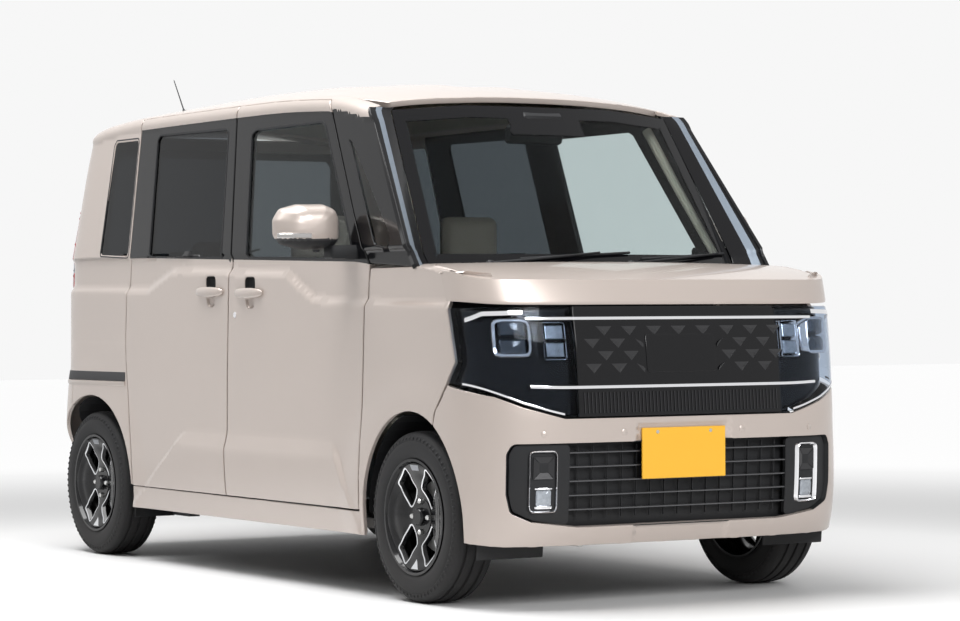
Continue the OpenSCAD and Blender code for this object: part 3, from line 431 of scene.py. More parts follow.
def skin(name, outline, surf, mats, holes=(), lines=(), zone=None, step=16.0, depth=10.0, roll=None, out=None,
         lift=None):
    """A closed sheet on a surface: rounded edges, a folded flange and an inner face."""
    roll = sizes().edge_roll / MM if roll is None else roll
    uv, tris = mesh_region(outline, holes, lines, step, roll * 1.2)
    h = 1.5
    raise_by = lift(uv[:, 0], uv[:, 1]) if lift else 0.0

    def at(du, dv):
        u, v = uv[:, 0] + du, uv[:, 1] + dv
        return surf(u, v, lift(u, v) if lift else 0.0)
    p = surf(uv[:, 0], uv[:, 1], raise_by)
    n = np.cross(at(h, 0) - at(-h, 0), at(0, h) - at(0, -h))
    n /= np.maximum(np.linalg.norm(n, axis=1, keepdims=True), 1e-9)
    tri_n = np.cross(p[tris[:, 1]] - p[tris[:, 0]], p[tris[:, 2]] - p[tris[:, 0]])
    if out is None:
        middle = p * np.array([0.75, 0, 1.0])
        outward = p - middle
    else:
        outward = np.broadcast_to(np.array(out, float), p.shape)
    if np.sum(n * outward) < 0:
        n = -n
    if np.sum(tri_n * outward[tris[:, 0]]) < 0:
        tris = tris[:, ::-1]
    edges = {}
    for t in tris:
        for a, b in ((t[0], t[1]), (t[1], t[2]), (t[2], t[0])):
            edges[(a, b)] = edges.get((a, b), 0) + 1
    rim = [e for e in edges if (e[1], e[0]) not in edges]
    lateral = np.zeros_like(p)
    for a, b in rim:
        d = np.cross(p[b] - p[a], n[a])
        d /= max(np.linalg.norm(d), 1e-9)
        lateral[a] += d
        lateral[b] += d
    on_rim = np.linalg.norm(lateral, axis=1) > 0
    lateral /= np.maximum(np.linalg.norm(lateral, axis=1, keepdims=True), 1e-9)
    face_n = n.copy()
    top = p.copy()
    top[on_rim] -= n[on_rim] * roll
    mixed = n[on_rim] + lateral[on_rim] * (0.9 if roll else 0)
    face_n[on_rim] = mixed / np.linalg.norm(mixed, axis=1, keepdims=True)
    low = p - n * depth
    k = len(p)
    verts = np.vstack([top, low])
    faces = [tuple(t) for t in tris] + [(t[2] + k, t[1] + k, t[0] + k) for t in tris]
    loops = [face_n[i] for t in tris for i in t] + [-n[i] for t in tris for i in t[::-1]]
    for a, b in rim:
        faces.append((b, a, a + k, b + k))
        loops += [lateral[b], lateral[a], lateral[a], lateral[b]]
    zones = None
    if zone is not None:
        mid = uv[tris].mean(1)
        z = np.asarray(zone(mid[:, 0], mid[:, 1]), int)
        own = {}
        for i, t in enumerate(tris):
            for a, b in ((t[0], t[1]), (t[1], t[2]), (t[2], t[0])):
                own[(a, b)] = z[i]
        zones = np.concatenate([z, z, [own[e] for e in rim]])
    return add_mesh(name, verts, faces, mats, zones, loops)


def join(name, obs):
    """One object from several, with their materials kept."""
    with bpy.context.temp_override(active_object=obs[0], selected_editable_objects=obs, selected_objects=obs):
        bpy.ops.object.join()
    obs[0].name = obs[0].data.name = name
    return obs[0]


def tube(path, radius, sides=12, closed=False):
    """Vertices and faces of a round bar along a path; radius may be a list."""
    p = np.asarray(path, float)
    n = len(p)
    r = np.broadcast_to(np.asarray(radius, float), (n,))
    if closed:
        tan = np.roll(p, -1, 0) - np.roll(p, 1, 0)
    else:
        tan = np.gradient(p, axis=0)
    tan /= np.linalg.norm(tan, axis=1, keepdims=True)
    ref = np.array([0, 0, 1.0]) if abs(tan[0][2]) < 0.9 else np.array([1.0, 0, 0])
    verts = []
    u = np.cross(tan[0], ref)
    for i in range(n):
        u = u - tan[i] * (u @ tan[i])
        u /= np.linalg.norm(u)
        w = np.cross(tan[i], u)
        verts += [p[i] + r[i] * (math.cos(2 * math.pi * j / sides) * u + math.sin(2 * math.pi * j / sides) * w)
                  for j in range(sides)]
    faces = []
    for i in range(n if closed else n - 1):
        a, b = i * sides, ((i + 1) % n) * sides
        faces += [(a + j, a + (j + 1) % sides, b + (j + 1) % sides, b + j) for j in range(sides)]
    if not closed:
        faces += [tuple(range(sides))[::-1], tuple((n - 1) * sides + j for j in range(sides))]
    return verts, faces


def lathe(profile, segments=96, closed=True):
    """Spins (radius, depth) points round the y axis, depth along +y."""
    verts, faces, n = [], [], len(profile)
    for i in range(segments):
        a = 2 * math.pi * i / segments
        verts += [(r * math.cos(a), d, r * math.sin(a)) for r, d in profile]
    for i in range(segments):
        a, b = i * n, ((i + 1) % segments) * n
        for j in range(n if closed else n - 1):
            j2 = (j + 1) % n
            faces.append((a + j, b + j, b + j2, a + j2))
    return verts, faces


def block(low, high, bevel=0.0):
    """A box with chamfered edges along z and at its top and bottom."""
    (x0, y0, z0), (x1, y1, z1) = low, high
    b = min(bevel, (x1 - x0) / 2.1, (y1 - y0) / 2.1, (z1 - z0) / 2.1)
    ring = [(x0 + b, y0), (x1 - b, y0), (x1, y0 + b), (x1, y1 - b), (x1 - b, y1), (x0 + b, y1), (x0, y1 - b),
            (x0, y0 + b)]
    if b <= 0:
        ring = [(x0, y0), (x1, y0), (x1, y1), (x0, y1)]
    cx, cy = (x0 + x1) / 2, (y0 + y1) / 2
    sx, sy = 1 - 2 * b / (x1 - x0), 1 - 2 * b / (y1 - y0)
    small = [(cx + (x - cx) * sx, cy + (y - cy) * sy) for x, y in ring]
    levels = [(small, z0), (ring, z0 + b), (ring, z1 - b), (small, z1)] if b > 0 else [(ring, z0), (ring, z1)]
    n = len(ring)
    verts = [(x, y, z) for r, z in levels for x, y in r]
    faces = [tuple(range(n))[::-1], tuple((len(levels) - 1) * n + j for j in range(n))]
    for i in range(len(levels) - 1):
        faces += [(i * n + j, i * n + (j + 1) % n, (i + 1) * n + (j + 1) % n, (i + 1) * n + j) for j in range(n)]
    return verts, faces


def box_loop(u, v, w, h, r=0):
    """A rectangle's outline about its middle, half sizes w and h, its corners rounded where r is given."""
    loop = [(u - w, v - h), (u + w, v - h), (u + w, v + h), (u - w, v + h)]
    return soften(loop, r) if r else loop


def hoops(rings):
    """A closed shell through closed rings of equal length, the last joined to the first."""
    n, m = len(rings[0]), len(rings)
    faces = [(a * n + i, a * n + (i + 1) % n, (a + 1) % m * n + (i + 1) % n, (a + 1) % m * n + i)
             for a in range(m) for i in range(n)]
    return np.vstack(rings), faces


def bar(rows):
    """A closed bar through rows of equal length laid round it, with both ends capped."""
    n, m = len(rows[0]), len(rows)
    faces = [(a * n + j, a * n + j + 1, (a + 1) % m * n + j + 1, (a + 1) % m * n + j)
             for a in range(m) for j in range(n - 1)]
    faces += [tuple(a * n for a in range(m))[::-1], tuple(a * n + n - 1 for a in range(m))]
    return np.vstack(rows), faces


def stack(loop, surf, steps):
    """A closed shell whose rings are the outline scaled about its middle and set off, for each (scale, off)."""
    mid = loop.mean(0)
    return hoops([surf(*(mid + (loop - mid) * k).T, off) for k, off in steps])


def turned(degrees, axis):
    return Matrix.Rotation(math.radians(degrees), 4, axis)


class Parts:
    """Gathers simple solids into one piece."""

    def __init__(self):
        self.v, self.f, self.z = [], [], []

    def add(self, shape, zone=0, turn=None, move=(0, 0, 0)):
        verts, faces = shape
        v = np.asarray(verts, float)
        if turn is not None:
            v = v @ np.array(turn.to_3x3()).T
            if turn.to_3x3().determinant() < 0:
                faces = [tuple(f)[::-1] for f in faces]
        k = len(self.v)
        self.v += list(v + np.array(move, float))
        self.f += [tuple(i + k for i in f) for f in faces]
        self.z += [zone] * len(faces)
        return self

    def build(self, name, mats, flat=False, angle=35):
        ob = add_mesh(name, self.v, self.f, mats, self.z, flat=flat)
        if not flat:
            ob.data.set_sharp_from_angle(angle=math.radians(angle))
        return ob


# ---------------------------------------------------------------- finishes


def node_group(name, takes, gives):
    g = bpy.data.node_groups.new(name, "ShaderNodeTree")
    for label, kind, value in takes:
        s = g.interface.new_socket(name=label, in_out="INPUT", socket_type=kind)
        s.default_value = value
    for label, kind in gives:
        g.interface.new_socket(name=label, in_out="OUTPUT", socket_type=kind)
    return g, g.nodes.new("NodeGroupInput"), g.nodes.new("NodeGroupOutput")


def calculator(tree):
    """A function that adds a maths node to the tree and gives its output; it takes numbers and sockets."""
    def calc(op, *values):
        m = tree.nodes.new("ShaderNodeMath")
        m.operation = op
        for place, v in zip(m.inputs, values):
            if isinstance(v, (int, float)):
                place.default_value = v
            else:
                tree.links.new(v, place)
        return m.outputs[0]
    return calc


def drift_group():
    """Uneven tone over a surface, and dust that gathers low on the car."""
    g, i, o = node_group(
        "Tone and dust",
        [("Colour", "NodeSocketColor", (0.5, 0.5, 0.5, 1)), ("Scale", "NodeSocketFloat", 3.0),
         ("Drift", "NodeSocketFloat", 0.05), ("Dust", "NodeSocketFloat", 0.1),
         ("Roughness", "NodeSocketFloat", 0.5)],
        [("Colour", "NodeSocketColor"), ("Roughness", "NodeSocketFloat")])
    n, link, calc = g.nodes, g.links.new, calculator(g)
    at = n.new("ShaderNodeTexCoord")
    noise = n.new("ShaderNodeTexNoise")
    noise.inputs["Detail"].default_value = 4
    link(at.outputs["Object"], noise.inputs["Vector"])
    link(i.outputs["Scale"], noise.inputs["Scale"])
    swing = calc("MULTIPLY_ADD", noise.outputs["Fac"], i.outputs["Drift"], 1.0)
    tone = n.new("ShaderNodeVectorMath")
    tone.operation = "SCALE"
    link(i.outputs["Colour"], tone.inputs[0])
    link(calc("MULTIPLY_ADD", i.outputs["Drift"], -0.5, swing), tone.inputs["Scale"])
    place = n.new("ShaderNodeSeparateXYZ")
    link(at.outputs["Object"], place.inputs[0])
    low = n.new("ShaderNodeMapRange")
    low.inputs["From Min"].default_value = 0.45
    low.inputs["From Max"].default_value = 0.1
    link(place.outputs["Z"], low.inputs["Value"])
    mask = calc("MULTIPLY", calc("MULTIPLY", low.outputs["Result"], i.outputs["Dust"]), noise.outputs["Fac"])
    mix = n.new("ShaderNodeMix")
    mix.data_type = "RGBA"
    mix.inputs["B"].default_value = (0.26, 0.23, 0.2, 1)
    link(mask, mix.inputs["Factor"])
    link(tone.outputs[0], mix.inputs["A"])
    link(mix.outputs["Result"], o.inputs["Colour"])
    rough = calc("ADD", i.outputs["Roughness"], mask)
    rough.node.use_clamp = True
    link(rough, o.inputs["Roughness"])
    return g


def grain_group():
    """Fine relief of moulded plastic, rubber, cloth or castings."""
    g, i, o = node_group("Fine grain", [("Scale", "NodeSocketFloat", 400.0), ("Weave", "NodeSocketFloat", 0.0)],
                         [("Height", "NodeSocketFloat")])
    n, link = g.nodes, g.links.new
    at = n.new("ShaderNodeTexCoord")
    noise = n.new("ShaderNodeTexNoise")
    noise.inputs["Detail"].default_value = 2
    link(at.outputs["Object"], noise.inputs["Vector"])
    link(i.outputs["Scale"], noise.inputs["Scale"])
    wave = n.new("ShaderNodeTexVoronoi")
    link(at.outputs["Object"], wave.inputs["Vector"])
    link(i.outputs["Scale"], wave.inputs["Scale"])
    mix = n.new("ShaderNodeMix")
    link(i.outputs["Weave"], mix.inputs["Factor"])
    link(noise.outputs["Fac"], mix.inputs["A"])
    link(wave.outputs["Distance"], mix.inputs["B"])
    link(mix.outputs["Result"], o.inputs["Height"])
    return g


FINISHES = {
    # name: colour, roughness, and what differs from plain
    "paint": (None, 0.34, {"metal": 0.3, "coat": 0.6, "drift": 0.03, "dust": 0.05}),
    "gloss_black": (None, 0.12, {"coat": 0.15, "spec": 0.2, "drift": 0.2}),
    "dark_plastic": (None, 0.55, {"grain": 700, "bump": 0.12, "drift": 0.2, "dust": 0.06, "spec": 0.25}),
    "chrome": ((0.78, 0.78, 0.8), 0.09, {"metal": 1.0, "drift": 0.05}),
    "satin_strip": ((0.22, 0.26, 0.31), 0.35, {"metal": 0.5, "drift": 0.05}),
    "fin": ((0.10, 0.10, 0.105), 0.3, {"metal": 0.6, "drift": 0.1}),
    "seal": ((0.02, 0.02, 0.022), 0.6, {"grain": 500, "bump": 0.05}),
    "lens": ((0.62, 0.68, 0.76), 0.02, {"glass": 1.0, "ior": 1.12}),
    "cube_lens": ((0.34, 0.37, 0.41), 0.14, {"metal": 0.6, "coat": 1.0, "drift": 0.9, "scale": 60}),
    "smoked_lens": ((0.03, 0.04, 0.055), 0.08, {"coat": 1.0, "drift": 0.9, "scale": 50}),
    "relief": ((0.014, 0.014, 0.016), 0.3, {"metal": 0.3, "coat": 0.15, "drift": 0.2}),
    "lamp_red": (None, 0.16, {"coat": 1.0, "drift": 0.25, "scale": 40}),
    "plate": (None, 0.4, {"drift": 0.05}),
    "clear_glass": ((0.70, 0.76, 0.76), 0.0, {"glass": 1.0, "ior": 1.14}),
    "dark_glass": ((0.075, 0.085, 0.095), 0.0, {"glass": 1.0, "ior": 1.2}),
    "frit": ((0.004, 0.004, 0.005), 0.12, {"coat": 0.1, "spec": 0.2}),
    "underbody": ((0.045, 0.045, 0.047), 0.7, {"grain": 250, "bump": 0.3, "drift": 0.4, "dust": 0.5}),
    "seat_cloth": (None, 0.9, {"grain": 900, "weave": 1.0, "bump": 0.35, "drift": 0.15, "scale": 12}),
    "cast_metal": ((0.3, 0.3, 0.3), 0.55, {"metal": 0.8, "grain": 300, "bump": 0.3, "drift": 0.3}),
    "dark_metal": ((0.09, 0.09, 0.095), 0.5, {"metal": 0.7, "grain": 300, "bump": 0.1, "drift": 0.3}),
    "bare_steel": ((0.55, 0.55, 0.54), 0.28, {"metal": 1.0, "drift": 0.2, "scale": 30}),
    "rubber": ((0.012, 0.012, 0.013), 0.68, {"grain": 600, "bump": 0.15, "drift": 0.3, "dust": 0.05, "spec": 0.35}),
    "wheel_black": ((0.006, 0.006, 0.007), 0.18, {"coat": 0.25, "spec": 0.2, "drift": 0.2}),
    "machined": ((0.72, 0.73, 0.75), 0.2, {"metal": 1.0, "grain": 1500, "bump": 0.02}),
    "wheel_grey": ((0.25, 0.26, 0.28), 0.3, {"metal": 0.8, "drift": 0.1}),
    "dash": ((0.05, 0.062, 0.066), 0.6, {"grain": 500, "bump": 0.12, "drift": 0.1}),
    "inner_trim": ((0.52, 0.48, 0.4), 0.75, {"grain": 500, "bump": 0.1, "drift": 0.1}),
    "mirror": ((0.85, 0.87, 0.88), 0.03, {"metal": 1.0}),
    "indicator": ((0.42, 0.41, 0.40), 0.14, {"metal": 0.7, "coat": 1.0}),
}
MADE = {}


def finish(name):
    """The material of that name, built the first time it is asked for."""
    if name in MADE:
        return MADE[name]
    colour, rough, more = FINISHES[name]
    c = colours()
    colour = colour or {"paint": c.paint, "gloss_black": c.trim_black, "dark_plastic": c.plastic, "plate": c.plate,
                        "lamp_red": c.tail_red, "seat_cloth": c.seat}[name]
    mat = bpy.data.materials.new(name)
    mat.use_nodes = True
    n, link = mat.node_tree.nodes, mat.node_tree.links.new
    shader = n["Principled BSDF"]
    tone = n.new("ShaderNodeGroup")
    tone.node_tree = bpy.data.node_groups.get("Tone and dust") or drift_group()
    tone.inputs["Colour"].default_value = (*colour, 1)
    tone.inputs["Scale"].default_value = more.get("scale", 3.0)
    tone.inputs["Drift"].default_value = more.get("drift", 0.04)
    tone.inputs["Dust"].default_value = more.get("dust", 0.0)
    tone.inputs["Roughness"].default_value = rough
    link(tone.outputs["Colour"], shader.inputs["Base Color"])
    if "glass" in more:
        shader.inputs["Roughness"].default_value = rough
        shader.inputs["Transmission Weight"].default_value = more["glass"]
        shader.inputs["IOR"].default_value = more["ior"]
    else:
        link(tone.outputs["Roughness"], shader.inputs["Roughness"])
    for label, value in (("Metallic", more.get("metal", 0.0)), ("Coat Weight", more.get("coat", 0.0)),
                         ("Coat Roughness", 0.03), ("Specular IOR Level", more.get("spec", 0.5))):
        shader.inputs[label].default_value = value
    if "grain" in more:
        grain = n.new("ShaderNodeGroup")
        grain.node_tree = bpy.data.node_groups.get("Fine grain") or grain_group()
        grain.inputs["Scale"].default_value = more["grain"]
        grain.inputs["Weave"].default_value = more.get("weave", 0.0)
        bump = n.new("ShaderNodeBump")
        bump.inputs["Strength"].default_value = more.get("bump", 0.1)
        bump.inputs["Distance"].default_value = 0.001
        link(grain.outputs["Height"], bump.inputs["Height"])
        link(bump.outputs["Normal"], shader.inputs["Normal"])
    MADE[name] = mat
    return mat


# ---------------------------------------------------------------- repeats made by Geometry Nodes


def copies_tree(name, takes):
    """A Geometry Nodes tree that sets a shape on points; what it takes besides the shape is given."""
    t = bpy.data.node_groups.new(name, "GeometryNodeTree")
    t.interface.new_socket(name="Shape", in_out="INPUT", socket_type="NodeSocketGeometry")
    ids = {}
    for label, kind, value in takes + (("Finish", "NodeSocketMaterial", None),):
        s = t.interface.new_socket(name=label, in_out="INPUT", socket_type=kind)
        if value is not None:
            s.default_value = value
        ids[label] = s.identifier
    t.interface.new_socket(name="Copies", in_out="OUTPUT", socket_type="NodeSocketGeometry")
    n, link = t.nodes, t.links.new
    i, o = n.new("NodeGroupInput"), n.new("NodeGroupOutput")
    line = n.new("GeometryNodeMeshLine")
    line.inputs["Offset"].default_value = (0, 0, 0)
    copies = n.new("GeometryNodeInstanceOnPoints")
    link(i.outputs["Shape"], copies.inputs["Instance"])
    real = n.new("GeometryNodeRealizeInstances")
    link(copies.outputs[0], real.inputs[0])
    paint = n.new("GeometryNodeSetMaterial")
    link(real.outputs[0], paint.inputs["Geometry"])
    link(i.outputs["Finish"], paint.inputs["Material"])
    link(paint.outputs[0], o.inputs[0])
    return t, ids, i.outputs, line, copies


def ring_tree():
    """Turns copies of the given shape round the y axis."""
    t, ids, given, line, copies = copies_tree(
        "Ring of copies", (("Count", "NodeSocketInt", 12), ("Start", "NodeSocketFloat", 0.0)))
    n, link, calc = t.nodes, t.links.new, calculator(t)
    link(given["Count"], line.inputs["Count"])
    share = calc("DIVIDE", n.new("GeometryNodeInputIndex").outputs[0], given["Count"])
    spin = n.new("ShaderNodeCombineXYZ")
    link(calc("MULTIPLY_ADD", share, 2 * math.pi, given["Start"]), spin.inputs["Y"])
    link(line.outputs[0], copies.inputs["Points"])
    link(spin.outputs[0], copies.inputs["Rotation"])
    return t, ids


def grid_tree():
    """Lays copies of the given shape out in rows, each second row moved on by half a pitch."""
    t, ids, given, line, copies = copies_tree(
        "Rows of copies", (("Across", "NodeSocketInt", 8), ("Rows", "NodeSocketInt", 4),
                           ("Pitch", "NodeSocketFloat", 0.02), ("Row pitch", "NodeSocketFloat", 0.02),
                           ("Stagger", "NodeSocketFloat", 0.5)))
    n, link, calc = t.nodes, t.links.new, calculator(t)
    link(calc("MULTIPLY", given["Across"], given["Rows"]), line.inputs["Count"])
    index = n.new("GeometryNodeInputIndex").outputs[0]
    row = calc("FLOOR", calc("DIVIDE", index, given["Across"]))
    col = calc("SUBTRACT", index, calc("MULTIPLY", row, given["Across"]))
    shift = calc("MULTIPLY_ADD", calc("MODULO", row, 2.0), given["Stagger"], col)
    place = n.new("ShaderNodeCombineXYZ")
    link(calc("MULTIPLY", shift, given["Pitch"]), place.inputs["X"])
    link(calc("MULTIPLY", row, given["Row pitch"]), place.inputs["Z"])
    put = n.new("GeometryNodeSetPosition")
    link(line.outputs[0], put.inputs["Geometry"])
    link(place.outputs[0], put.inputs["Position"])
    link(put.outputs[0], copies.inputs["Points"])
    return t, ids


TREES = {}


def repeat(name, shape, kind, mat, **values):
    """A plain mesh of the copies that a node tree makes of one shape, given in millimetres."""
    if kind not in TREES:
        TREES[kind] = ring_tree() if kind == "ring" else grid_tree()
    tree, ids = TREES[kind]
    seed = add_mesh(name + "_one", shape[0], shape[1], [mat], flat=True)
    mod = seed.modifiers.new("copies", "NODES")
    mod.node_group = tree
    mod[ids["Finish"]] = mat
    for label, value in values.items():
        mod[ids[label.replace("_", " ")]] = value
    seed.update_tag()
    deps = bpy.context.evaluated_depsgraph_get()
    me = bpy.data.meshes.new_from_object(seed.evaluated_get(deps))
    me.name = name
    seed.modifiers.clear()
    bpy.data.objects.remove(seed)
    ob = bpy.data.objects.new(name, me)
    bpy.context.scene.collection.objects.link(ob)
    return ob


def bend_to(ob, func):
    """Moves each vertex through func, which takes and gives millimetres."""
    me = ob.data
    co = np.zeros(len(me.vertices) * 3, np.float32)
    me.vertices.foreach_get("co", co)
    p = func(co.reshape(-1, 3) / MM)
    me.vertices.foreach_set("co", np.asarray(p * MM, np.float32).ravel())
    me.update()
    return ob


# ---------------------------------------------------------------- sides


RAIL = 50.0


def rail_foot(x):
    return edge_z(np.clip(x, -1420, 760)) - RAIL


def flank(s, z, off=0.0):
    """The side skin, which above the windows turns in over the roof rail to the roof's edge."""
    s, z = np.broadcast_arrays(np.asarray(s, float), np.asarray(z, float))
    foot = rail_foot(s)
    over = np.clip(z - foot, 0, 120)
    base = belt(s, np.minimum(z, foot), off)
    turn = over / 120 * math.pi / 2
    reach = np.abs(base[..., 1]) - 598
    reach = np.where(s < -CORNER_X, 50, reach)
    swell = 5 * np.sin(np.clip(over / 40, 0, 1) * math.pi / 2)
    moved = belt(s, np.minimum(z, foot), off + swell - (reach + swell) * (1 - np.cos(turn) ** 0.85))
    x = np.where(s < -CORNER_X, moved[..., 0], base[..., 0])
    y = moved[..., 1]
    top = roof(np.clip(x, -1640, 900), np.minimum(y, 600))[..., 2] + off
    zz = np.where(over > 0, foot + (top - foot) * np.sin(turn) ** 0.9, z)
    return np.stack([x, y, zz], -1)


def on_side(side):
    return lambda s, z, off=0.0: flank(s, z, off) * np.array([1, side, 1.0])


def rail_line(x0, x1, rise, step=40):
    xs = np.linspace(x0, x1, max(2, int(abs(x1 - x0) / step)))
    return [(float(x), float(rail_foot(x)) + rise) for x in xs]


def arch_points(axle, rx, ry, a0, a1, n=26):
    """Points round a wheel arch; angles in degrees from forward, upwards."""
    return [(axle + rx * math.cos(math.radians(a)), WHEEL_Z + ry * math.sin(math.radians(a)))
            for a in np.linspace(a0, a1, n)]


QUARTER_WINDOW = [(-1246, 1176), (-985, 1165), (-1033, 1616), (-1044, 1628), (-1240, 1628), (-1254, 1610)]
FRONT_QUARTER = [(936, 1178), (1032, 1166), (1036, 1200), (690, 1530), (662, 1545)]
FRONT_WINDOW = [(14, 1152), (784, 1136), (806, 1140), (478, 1600), (452, 1612), (-40, 1610), (-72, 1595)]
REAR_WINDOW = [(-796, 1168), (-188, 1154), (-268, 1612), (-284, 1624), (-846, 1629), (-862, 1612)]
BODY_SIDES = (("right", -1), ("left", 1))


def window_gasket(loop, surf, width, off):
    """A thin rubber or reveal line round an opening."""
    loop = dense(soften(loop, 14), 14)
    outer = inset(loop, -width)
    return hoops([surf(*outer.T, off), surf(*loop.T, off), surf(*loop.T, off - 9), surf(*outer.T, off - 9)])


def right_way(ob):
    """Turns every face of a closed piece outwards."""
    bm = bmesh.new()
    bm.from_mesh(ob.data)
    bmesh.ops.remove_doubles(bm, verts=bm.verts, dist=1e-6)
    bmesh.ops.recalc_face_normals(bm, faces=bm.faces)
    bm.to_mesh(ob.data)
    bm.free()
    ob.data.update()
    return ob


class KEICAR_OT_side_frames(bpy.types.Operator):
    """Rear quarters, roof rails and screen pillars"""
    bl_idname = "keicar.side_frames"
    bl_label = "Side frames"

    def execute(self, context):
        for label, side in BODY_SIDES:
            lamp_top, lamp_low, lamp_x = 1428, 1046, -1556
            out = [(-926, 292), (-936, 430), (-961, 560), (-984, 700), (-995, 824), (-991, 900), (-974, 1155),
                   (-1026, 1630)]
            out += rail_line(-1026, 486, 73)
            out += [(533, 1626), (771, 1286), (901, 1116), (1208, 1100), (800, 1630)]
            out += rail_line(770, -1330, 118)
            out += [(s_at_y(y, z, -1), z) for y, z in ((560, 1700), (590, 1640), (596, 1560), (608, 1430))]
            out += [(s_at_x(lamp_x, lamp_top), lamp_top), (s_at_x(lamp_x, lamp_low), lamp_low)]
            out += [(s_at_y(608, lamp_low, -1), lamp_low), (s_at_y(608, 686, -1), 686)]
            out += [(s_at_x(-1474, 686), 686)]
            out += [(s_at_x(x, z), z) for x, z in arch_points(AXLES["rear"], 363, 347, 119, 2)]
            surf = on_side(side)
            lines = [[(x, float(character_z(x)) + d) for x in np.linspace(-1550, -1000, 14)] for d in (0, -25)]
            ob = skin("side_skin_" + label, out, surf, [finish("paint"), finish("gloss_black")],
                      holes=[soften([(-1250, 1180), (-992, 1170), (-1038, 1612), (-1048, 1622), (-1238, 1622),
                                     (-1250, 1608)], 22), soften(FRONT_QUARTER, 20)],
                      lines=lines, depth=14, step=15,
                      zone=lambda s, z: ((s > 490) & (z < rail_foot(s) + 14)).astype(int))
            settle(ob, "body", ["side_frame_" + label])
            # the screen pillar between the side and the windscreen, with its satin strip
            zs = np.linspace(1100, 1650, 40)

            def pillar(u, z, off=0.0, side=side):
                front_x = np.interp(z, [1094, 1630, 1690], [1212, 800, 745])
                p0 = flank(front_x, np.minimum(z, 1650))
                edge = np.interp(z, [1102, 1140, 1640, 1668], [617, 623, 563, 520])
                p1 = screen(edge, z)
                t = u[..., None] / 100.0
                bulge = np.sin(t * math.pi) * 7 * ramp(1655 - z, 0, 60)[..., None]
                p = p0 * (1 - t) + p1 * t + bulge * np.array([0.8, 0.6, 0]) + off * np.array([0.8, 0.6, 0])
                p[..., 2] = z
                return p * np.array([1, side, 1.0])
            ob = skin("screen_pillar_" + label, [(0, zs[0]), (97, zs[0]), (97, zs[-1]), (0, zs[-1])], pillar,
                      [finish("gloss_black"), finish("satin_strip")], depth=14, step=12, out=(0.8, 0.6 * side, 0),
                      lines=[[(26, 1101), (26, 1649)], [(52, 1101), (52, 1649)]],
                      zone=lambda u, z: ((u > 26) & (u < 52)).astype(int))
            settle(ob, "body")
            # sill cover under the doors
            out = [(-930, 204), (857, 204), (853, 282), (-924, 286)]
            ob = skin("sill_cover_" + label, out, lambda s, z, off=0.0, f=surf: f(s, z, off - 3), [finish("paint")],
                      depth=10, step=18)
            settle(ob, "body")
        return {"FINISHED"}


